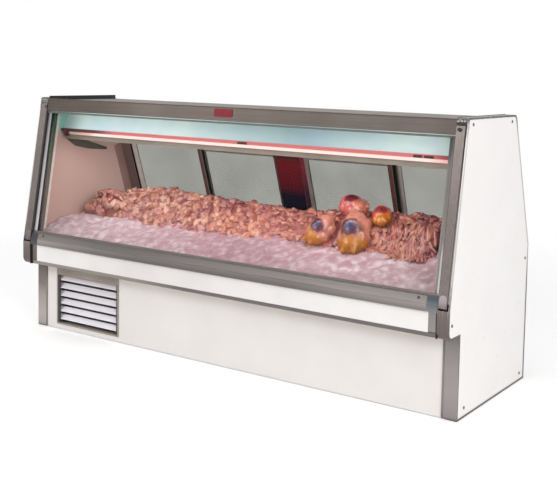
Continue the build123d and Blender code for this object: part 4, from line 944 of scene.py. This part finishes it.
def ice_bed_shape():
    """The bed as a closed block with an uneven top."""
    low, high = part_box("ice_bed")
    columns = int((high[0] - low[0]) / ICE_STEP) + 1
    rows = int((high[1] - low[1]) / ICE_STEP) + 1
    xs = np.linspace(low[0] + ICE_MARGIN, high[0] - ICE_MARGIN, columns)
    ys = np.linspace(low[1] + ICE_MARGIN, high[1] - ICE_MARGIN, rows)
    top = [(x, y, ice_height(x, y)) for y in ys for x in xs]
    floor = [(x, y, low[2] + DECK_SLOPE * (y - low[1]) + ICE_MARGIN) for y in ys for x in xs]
    count = len(top)
    faces = []
    for row in range(rows - 1):
        for column in range(columns - 1):
            a = row * columns + column
            b, c, d = a + 1, a + columns + 1, a + columns
            faces.append([a, b, c, d])
            faces.append([count + d, count + c, count + b, count + a])
    rim = list(range(columns))
    rim += [row * columns + columns - 1 for row in range(1, rows)]
    rim += [(rows - 1) * columns + column for column in range(columns - 2, -1, -1)]
    rim += [row * columns for row in range(rows - 2, 0, -1)]
    for here, after in zip(rim, rim[1:] + rim[:1]):
        faces.append([after, here, count + here, count + after])
    return top + floor, faces


def add_ice():
    bed = add_piece("ice_surface", ice_bed_shape(), "ice", smooth=True)
    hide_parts("ice_bed")


# Food

# Surface of a heap for each piece on it, sizes of the pieces, and the share of its size that a piece sinks in
PIECE_AREA = 0.00062
PIECE_SIZES = (0.020, 0.036)
PIECE_SINK = 0.3
PIECE_WOBBLE = 0.25
TONE_SPREAD = (2.2, 2.2)
TAIL_CURL = 0.8
# Strips on the front of the right heap, from a place along X and below a height, and more of them on the ice
STRIP_COUNT = 260
STRIP_SIZES = (0.018, 0.032)
STRIP_TONES = (0.05, 0.85)
STRIP_FROM, STRIP_TOP, STRIP_FACING = 0.76, 0.745, -0.1
STRIP_STRAY = 0.5
FRINGE_COUNT = 70
FRINGE_SPAN = (0.80, 0.99)
FRINGE_DEPTH = (0.366, 0.396)
FRINGE_LIFT = 0.005
ICE_NORMAL = np.array((0.0, -0.330, 0.944))
MOUND_SHRINK = 0.012
MOUND_TONE = 0.2


def ball_shape(level):
    work = bmesh.new()
    bmesh.ops.create_icosphere(work, subdivisions=level, radius=1.0)
    shape = np.array([v.co[:] for v in work.verts]), [[v.index for v in f.verts] for f in work.faces]
    work.free()
    return shape


def lumpy(points, seed, scale, depth):
    """Points pushed in and out by noise."""
    shift = Vector((7.3 * seed, 3.1 * seed, 5.7 * seed))
    push = np.array([noise.noise(Vector(point) * scale + shift) for point in points])
    return points * (1 + depth * push)[:, None]


def fillet(points, seed):
    """A flat, tapered slab of flesh, a little curled."""
    made = lumpy(points, seed, 1.6, 0.45)
    x = made[:, 0]
    return np.stack([x, made[:, 1] * 0.66 * (1 - 0.3 * x), 0.46 * made[:, 2] + 0.16 * x * x], axis=1)


def tail(points, seed):
    """A tapered body curled in an arc, with a small fan at its thin end."""
    made = lumpy(points, seed, 1.8, 0.16)
    girth = np.interp(points[:, 0], (-1.0, -0.5, 0.3, 0.8, 1.0), (0.40, 0.46, 0.34, 0.20, 0.34))
    angle = 1.35 * made[:, 0]
    radius = TAIL_CURL + girth * made[:, 1]
    return np.stack([radius * np.sin(angle), TAIL_CURL - radius * np.cos(angle), girth * made[:, 2]], axis=1)


def scrap(points, seed):
    """A small lump."""
    return lumpy(points, seed, 2.2, 0.6) * (0.72, 0.6, 0.5)


def strip(points, seed):
    """A long thin curved strip."""
    made = lumpy(points, seed, 1.5, 0.3)
    x = made[:, 0]
    return np.stack([1.7 * x, 0.3 * made[:, 1] + 0.25 * np.sin(1.6 * x), 0.24 * made[:, 2]], axis=1)


def heap_spots(rng, name, count=None):
    """Random spots on the open faces of a heap, each with the face's normal."""
    mesh = NODES[name].data
    mesh.calc_loop_triangles()
    points = np.array([v.co[:] for v in mesh.vertices])
    corners = np.array([t.vertices[:] for t in mesh.loop_triangles])
    a, b, c = (points[corners[:, index]] for index in range(3))
    cross = np.cross(b - a, c - a)
    area = np.linalg.norm(cross, axis=1) / 2
    normal = cross / (2 * area[:, None] + 1e-12)
    area = np.where(normal[:, 2] > -0.01, area, 0.0)
    chosen = rng.choice(len(area), size=count or int(area.sum() / PIECE_AREA), p=area / area.sum())
    first, second = np.sqrt(rng.uniform(size=len(chosen))), rng.uniform(size=len(chosen))
    shares = (1 - first, first * (1 - second), first * second)
    spots = sum(corner[chosen] * share[:, None] for corner, share in zip((a, b, c), shares))
    return spots, normal[chosen]


def laid(rng, normal):
    """A turn that lays a piece flat on a face, with a random heading and some wobble."""
    aim = Vector(normal + rng.normal(scale=PIECE_WOBBLE, size=3)).normalized()
    heading = Matrix.Rotation(rng.uniform(0, 2 * math.pi), 3, "Z")
    return np.array(aim.to_track_quat("Z", "Y").to_matrix() @ heading)


def draped(rng, normal):
    """A turn that lays a strip down the slope of a face."""
    aim = Vector(normal).normalized()
    down = (Vector((0, 0, -1)) + aim * aim.z).normalized()
    down = Matrix.Rotation(rng.normal(scale=STRIP_STRAY), 3, aim) @ down
    return np.array(Matrix((down, aim.cross(down), aim)).transposed())


def mound_shape(name):
    """The heap's own form, drawn in a little, to close the gaps between the pieces."""
    mesh = NODES[name].data
    low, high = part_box(name)
    middle = (Vector(low) + Vector(high)) / 2
    spans = [(high[i] - low[i]) / 2 for i in range(3)]
    scale = [(span - MOUND_SHRINK) / span for span in spans]
    vertices = [[middle[i] + (v.co[i] - middle[i]) * scale[i] for i in range(3)] for v in mesh.vertices]
    return vertices, [list(p.vertices) for p in mesh.polygons]


def add_pile(name, lots):
    """Raw food as one piece, from lots of points, faces and the tone of those points."""
    pile = add_piece(name, joined([lot[:2] for lot in lots]), "raw_flesh", smooth=True)
    own = pile.data.attributes.new("tone", "FLOAT", "POINT")
    own.data.foreach_set("value", [tone for points, _, tone in lots for _ in points])
    return pile


def add_heap(name, seed, shifts=(0.0, 0.0), strips=0):
    """One heap of raw pieces in place of its plain CAD form, with shifts of tone at its left and right end."""
    rng = np.random.default_rng(seed)
    ball, faces = ball_shape(2)
    kinds = [form(ball, index + seed) for form in (fillet, tail, scrap, fillet) for index in range(6)]
    low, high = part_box(name)
    lots = [(*mound_shape(name), MOUND_TONE)]

    def put(points, turn, size, place, tone):
        lots.append(((points @ turn.T * size + place).tolist(), faces, tone))

    for spot, normal in zip(*heap_spots(rng, name)):
        size = rng.uniform(*PIECE_SIZES)
        place = spot - normal * PIECE_SINK * size
        shift = np.interp(spot[0], (low[0], high[0]), shifts)
        put(kinds[rng.integers(len(kinds))], laid(rng, normal), size, place, rng.beta(*TONE_SPREAD) + shift)
    if strips:
        thin = [strip(ball, index + seed) for index in range(8)]
        kept = [
            (spot, normal) for spot, normal in zip(*heap_spots(rng, name, strips * 4))
            if spot[0] > STRIP_FROM and spot[2] < STRIP_TOP and normal[1] < STRIP_FACING
        ]
        fringe = []
        for _ in range(FRINGE_COUNT):
            x, y = rng.uniform(*FRINGE_SPAN), FRONT_Y + rng.uniform(*FRINGE_DEPTH)
            fringe.append((np.array((x, y, ice_height(x, y) + FRINGE_LIFT)), ICE_NORMAL))
        for spot, normal in kept[:strips] + fringe:
            size = rng.uniform(*STRIP_SIZES)
            put(thin[rng.integers(len(thin))], draped(rng, normal), size, spot, rng.uniform(*STRIP_TONES))
    heap = add_pile(f"raw_pieces_{name.split('_')[0]}", lots)
    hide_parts(name)


# Middle, half sizes, count of pieces and shift of tone of the lumps at the left heap's blunt end
END_LUMPS = [
    ((-1.050, FRONT_Y + 0.430, 0.665), (0.130, 0.070, 0.095), 80, 0.10),
    ((-1.120, FRONT_Y + 0.385, 0.632), (0.080, 0.050, 0.056), 40, -0.04),
]
LUMP_CORE = 0.86
END_SEED = 21


def add_heap_end():
    """Pieces piled against the left wall."""
    rng = np.random.default_rng(END_SEED)
    ball, faces = ball_shape(2)
    kinds = [form(ball, index) for form in (fillet, tail, scrap) for index in range(6)]
    lots = []
    for middle, halves, count, shift in END_LUMPS:
        lots.append(((LUMP_CORE * ball * halves + middle).tolist(), faces, MOUND_TONE))
        for _ in range(count):
            way = rng.normal(size=3)
            way *= (1, 1, np.sign(way[2])) / np.linalg.norm(way)
            size = rng.uniform(*PIECE_SIZES)
            turn = laid(rng, way)
            place = middle + way * halves - way * PIECE_SINK * size
            points = kinds[rng.integers(len(kinds))] @ turn.T * size + place
            lots.append((points.tolist(), faces, rng.beta(*TONE_SPREAD) + shift))
    add_pile("raw_pieces_end", lots)


# Middle and half sizes of the rounded forms of a bird: breast, rump, thigh, leg, wing and neck.
# Those that lie off the middle come in pairs.
BIRD_FORMS = [
    ((0.015, 0.0, 0.012), (0.088, 0.066, 0.060)),
    ((-0.055, 0.0, 0.0), (0.058, 0.056, 0.050)),
    ((-0.030, 0.050, -0.004), (0.052, 0.030, 0.042)),
    ((-0.085, 0.028, 0.016), (0.036, 0.015, 0.015)),
    ((0.035, 0.060, 0.0), (0.040, 0.018, 0.030)),
    ((0.098, 0.0, 0.0), (0.026, 0.016, 0.016)),
]
BIRD_VOXEL = 0.005
TAIL_END, TAIL_BLUR = -0.042, 0.014
PATCH_MIDDLE, PATCH_HALF, PATCH_REACH = 0.002, 0.034, 0.046
PATCH_WAVE, PATCH_WAVES = 0.010, 40.0
# Tones of a bird's body, its tail end, and the edge and middle of its patch
PALE_BIRD = ((224, 152, 132), (206, 126, 22), (104, 24, 52), (44, 38, 96))
ROSE_BIRD = ((238, 116, 114), (226, 146, 124), (150, 42, 62), (112, 36, 60))
ORANGE_BIRD = ((240, 104, 54), (208, 126, 36), (168, 60, 62), (150, 56, 70))
# Name, tones, middle, size, heading about its own upright and lean of that upright towards the front
BIRDS = [
    ("left_wrapped_bird", PALE_BIRD, (0.400, -0.024, 0.686), 0.82, 62.0, 50.0),
    ("right_wrapped_bird", PALE_BIRD, (0.592, -0.020, 0.692), 1.04, 96.0, 54.0),
    ("upper_wrapped_bird", ROSE_BIRD, (0.520, 0.084, 0.802), 0.80, 160.0, 20.0),
    ("rear_wrapped_bird", ORANGE_BIRD, (0.692, 0.062, 0.774), 0.62, 120.0, 30.0),
]


def bird_mesh():
    """A trussed bird in tight film, from overlapping rounded forms that are melted into one skin."""
    ball, faces = ball_shape(4)
    forms = []
    for (x, y, z), radii in BIRD_FORMS:
        for middle in sorted({(x, y, z), (x, -y, z)}, reverse=True):
            forms.append(((ball * radii + middle).tolist(), faces))
    vertices, polygons = joined(forms)
    mesh = bpy.data.meshes.new("bird_forms")
    mesh.from_pydata(vertices, [], polygons)
    work = bpy.data.objects.new("bird_forms", mesh)
    bpy.context.scene.collection.objects.link(work)
    melt = work.modifiers.new("melt", "REMESH")
    melt.mode = "VOXEL"
    melt.voxel_size = BIRD_VOXEL
    ease = work.modifiers.new("ease", "SMOOTH")
    ease.factor = 0.5
    ease.iterations = 6
    graph = bpy.context.evaluated_depsgraph_get()
    melted = bpy.data.meshes.new_from_object(work.evaluated_get(graph))
    vertices = np.array([v.co[:] for v in melted.vertices])
    polygons = [list(p.vertices) for p in melted.polygons]
    bpy.data.objects.remove(work)
    bpy.data.meshes.remove(mesh)
    bpy.data.meshes.remove(melted)
    return vertices, polygons


def bird_colours(vertices, tones):
    """Colour at each point of a bird: its body, its tail end, and a soft patch with an edge and a middle."""
    body, tail_end, edge, middle = (np.array(srgb(*tone)) for tone in tones)
    x, y, z = vertices.T
    wave = np.array([PATCH_WAVE * noise.noise(Vector(vertex) * PATCH_WAVES) for vertex in vertices])
    far = np.hypot((x - PATCH_MIDDLE + wave) / PATCH_HALF, y / PATCH_REACH)
    above = np.interp(z, (0.0, 0.02), (0.0, 1.0))
    layers = (
        (tail_end, np.interp(x + wave, (TAIL_END - TAIL_BLUR, TAIL_END + TAIL_BLUR), (1.0, 0.0))),
        (edge, above * np.interp(far, (1.0, 1.35), (1.0, 0.0))),
        (middle, above * np.interp(far, (0.45, 0.75), (1.0, 0.0))),
    )
    colours = np.tile(body, (len(vertices), 1))
    for tone, share in layers:
        colours += share[:, None] * (tone - colours)
    return colours


def add_birds():
    """Wrapped birds that lie on and against the heaps."""
    vertices, polygons = bird_mesh()
    for name, tones, middle, size, heading, lean in BIRDS:
        turn = Matrix.Rotation(math.radians(lean), 3, "X") @ Matrix.Rotation(math.radians(heading), 3, "Z")
        placed = vertices * size @ np.array(turn).T + np.array(middle)
        bird = add_piece(name, (placed.tolist(), polygons), "wrap", smooth=True)
        own = bird.data.attributes.new("film_colour", "FLOAT_COLOR", "POINT")
        own.data.foreach_set("color", bird_colours(vertices, tones).ravel())


def add_food():
    add_heap("left_food_heap", 3)
    add_heap_end()
    add_heap("middle_food_heap", 5, (-0.04, -0.12))
    add_heap("right_food_heap", 8, (-0.04, -0.34), STRIP_COUNT)
    add_birds()


# Studio

BRIGHT = (1.0, 1.0, 1.0, 1.0)
AMBIENT = 0.55
FLOOR_HALF = 6.0
FLOOR_GREY = (0.82, 0.82, 0.82, 1.0)
FLOOR_GLOW = 0.3
FLOOR_NEAR, FLOOR_FAR = 1.9, 4.2
AIM = (0.0, 0.0, 0.6)
NEUTRAL, ROSY, BLUISH = (1.0, 1.0, 1.0), (1.0, 0.84, 0.83), (0.90, 0.98, 1.0)
# Name, place, width and height, power, aim and colour. The fill stands above what the front glass mirrors.
LAMPS = [
    ("key", (5.4, -3.0, 3.0), (3.0, 3.0), 165.0, AIM, NEUTRAL),
    ("fill", (-3.6, -5.2, 3.7), (3.5, 1.8), 128.0, AIM, NEUTRAL),
    ("top", (0.0, -0.8, 5.0), (3.5, 3.5), 40.0, AIM, NEUTRAL),
    ("lamp_light", (-0.02, LAMP_Y + 0.014, LAMP_Z - 0.050), (2.12, 0.03), 4.0,
     (-0.02, LAMP_Y + 0.1, 0.0), ROSY),
    ("wall_light", (-0.80, FRONT_Y + 0.52, 0.90), (0.25, 0.08), 0.3,
     (-INNER_HALF, FRONT_Y + 0.62, 0.86), ROSY),
    ("canopy_light", (0.0, FRONT_Y + 0.175, 1.205), (2.3, 0.02), 0.55,
     (0.0, FRONT_Y + 0.268, 1.150), BLUISH),
]


def seen_rays(owner):
    """One for rays that the camera sees, straight or by way of metal and glass, and nought for the rest."""
    path = add_node(owner, "ShaderNodeLightPath")
    seen = path.outputs["Is Camera Ray"]
    for kind in ("Is Glossy Ray", "Is Transmission Ray"):
        seen = combined(owner, "MAXIMUM", seen, path.outputs[kind])
    return seen


def add_floor():
    """Pale floor that keeps the shadow of the object and fades into the white backdrop away from it."""
    mesh = bpy.data.meshes.new("floor")
    corners = [(x * FLOOR_HALF, y * FLOOR_HALF, 0) for x, y in ((-1, -1), (1, -1), (1, 1), (-1, 1))]
    mesh.from_pydata(corners, [], [[0, 1, 2, 3]])
    material = new_material("floor_white", base_color=FLOOR_GREY, roughness=0.9, emission_color=BRIGHT)
    feed(material, "Emission Strength", carried(material, seen_rays(material), to_max=FLOOR_GLOW))
    distance = add_node(material, "ShaderNodeVectorMath", {0: place_of(material)})
    distance.operation = "LENGTH"
    fade = carried(material, distance.outputs["Value"], from_min=FLOOR_NEAR, from_max=FLOOR_FAR)
    show_both(material, fade, shader_of(material), add_node(material, "ShaderNodeBsdfTransparent"))
    mesh.materials.append(material)
    floor = bpy.data.objects.new("floor", mesh)
    bpy.context.scene.collection.objects.link(floor)


def add_world():
    """White where it is seen, and an even soft light otherwise."""
    world = bpy.data.worlds.new("studio")
    world.use_nodes = True
    bpy.context.scene.world = world
    nodes = world.node_tree.nodes
    soft = nodes["Background"]
    soft.inputs["Color"].default_value = BRIGHT
    soft.inputs["Strength"].default_value = AMBIENT
    backdrop = add_node(world, "ShaderNodeBackground", color=BRIGHT)
    links = {"Fac": seen_rays(world), 1: soft.outputs["Background"], 2: backdrop.outputs["Background"]}
    either = add_node(world, "ShaderNodeMixShader", links)
    world.node_tree.links.new(either.outputs["Shader"], nodes["World Output"].inputs["Surface"])


def add_lights():
    for name, place, size, power, aim, colour in LAMPS:
        light = bpy.data.lights.new(name, "AREA")
        light.shape = "RECTANGLE"
        light.size, light.size_y = size
        light.energy = power
        light.color = colour
        lamp = bpy.data.objects.new(name, light)
        lamp.location = place
        lamp.rotation_euler = (Vector(aim) - Vector(place)).to_track_quat("-Z", "Y").to_euler()
        lamp.visible_camera = False
        bpy.context.scene.collection.objects.link(lamp)


def add_camera():
    """The photo's view."""
    forward = Vector((
        -math.sin(CAMERA_YAW) * math.cos(CAMERA_PITCH),
        math.cos(CAMERA_YAW) * math.cos(CAMERA_PITCH),
        -math.sin(CAMERA_PITCH),
    ))
    level = Vector((math.cos(CAMERA_YAW), math.sin(CAMERA_YAW), 0.0))
    steep = level.cross(forward)
    right = math.cos(CAMERA_ROLL) * level + math.sin(CAMERA_ROLL) * steep
    up = math.cos(CAMERA_ROLL) * steep - math.sin(CAMERA_ROLL) * level
    data = bpy.data.cameras.new("photo_camera")
    data.sensor_width = SENSOR
    data.lens = FOCAL_PIXELS / PHOTO_WIDTH * SENSOR
    data.shift_x = (PHOTO_WIDTH / 2 - CENTRE_PIXEL[0]) / PHOTO_WIDTH
    data.shift_y = (CENTRE_PIXEL[1] - PHOTO_HEIGHT / 2) / PHOTO_WIDTH
    camera = bpy.data.objects.new("photo_camera", data)
    turn = Matrix((right, up, -forward)).transposed().to_4x4()
    camera.matrix_world = Matrix.Translation(CAMERA_PLACE) @ turn
    bpy.context.scene.collection.objects.link(camera)
    bpy.context.scene.camera = camera


def main():
    bpy.context.scene.view_settings.view_transform = "Standard"
    dress_nodes()
    add_strips()
    add_pivot_caps()
    add_lamp_trim()
    add_screws()
    add_dial_marks()
    add_ice()
    add_food()
    add_floor()
    add_world()
    add_lights()
    add_camera()


main()
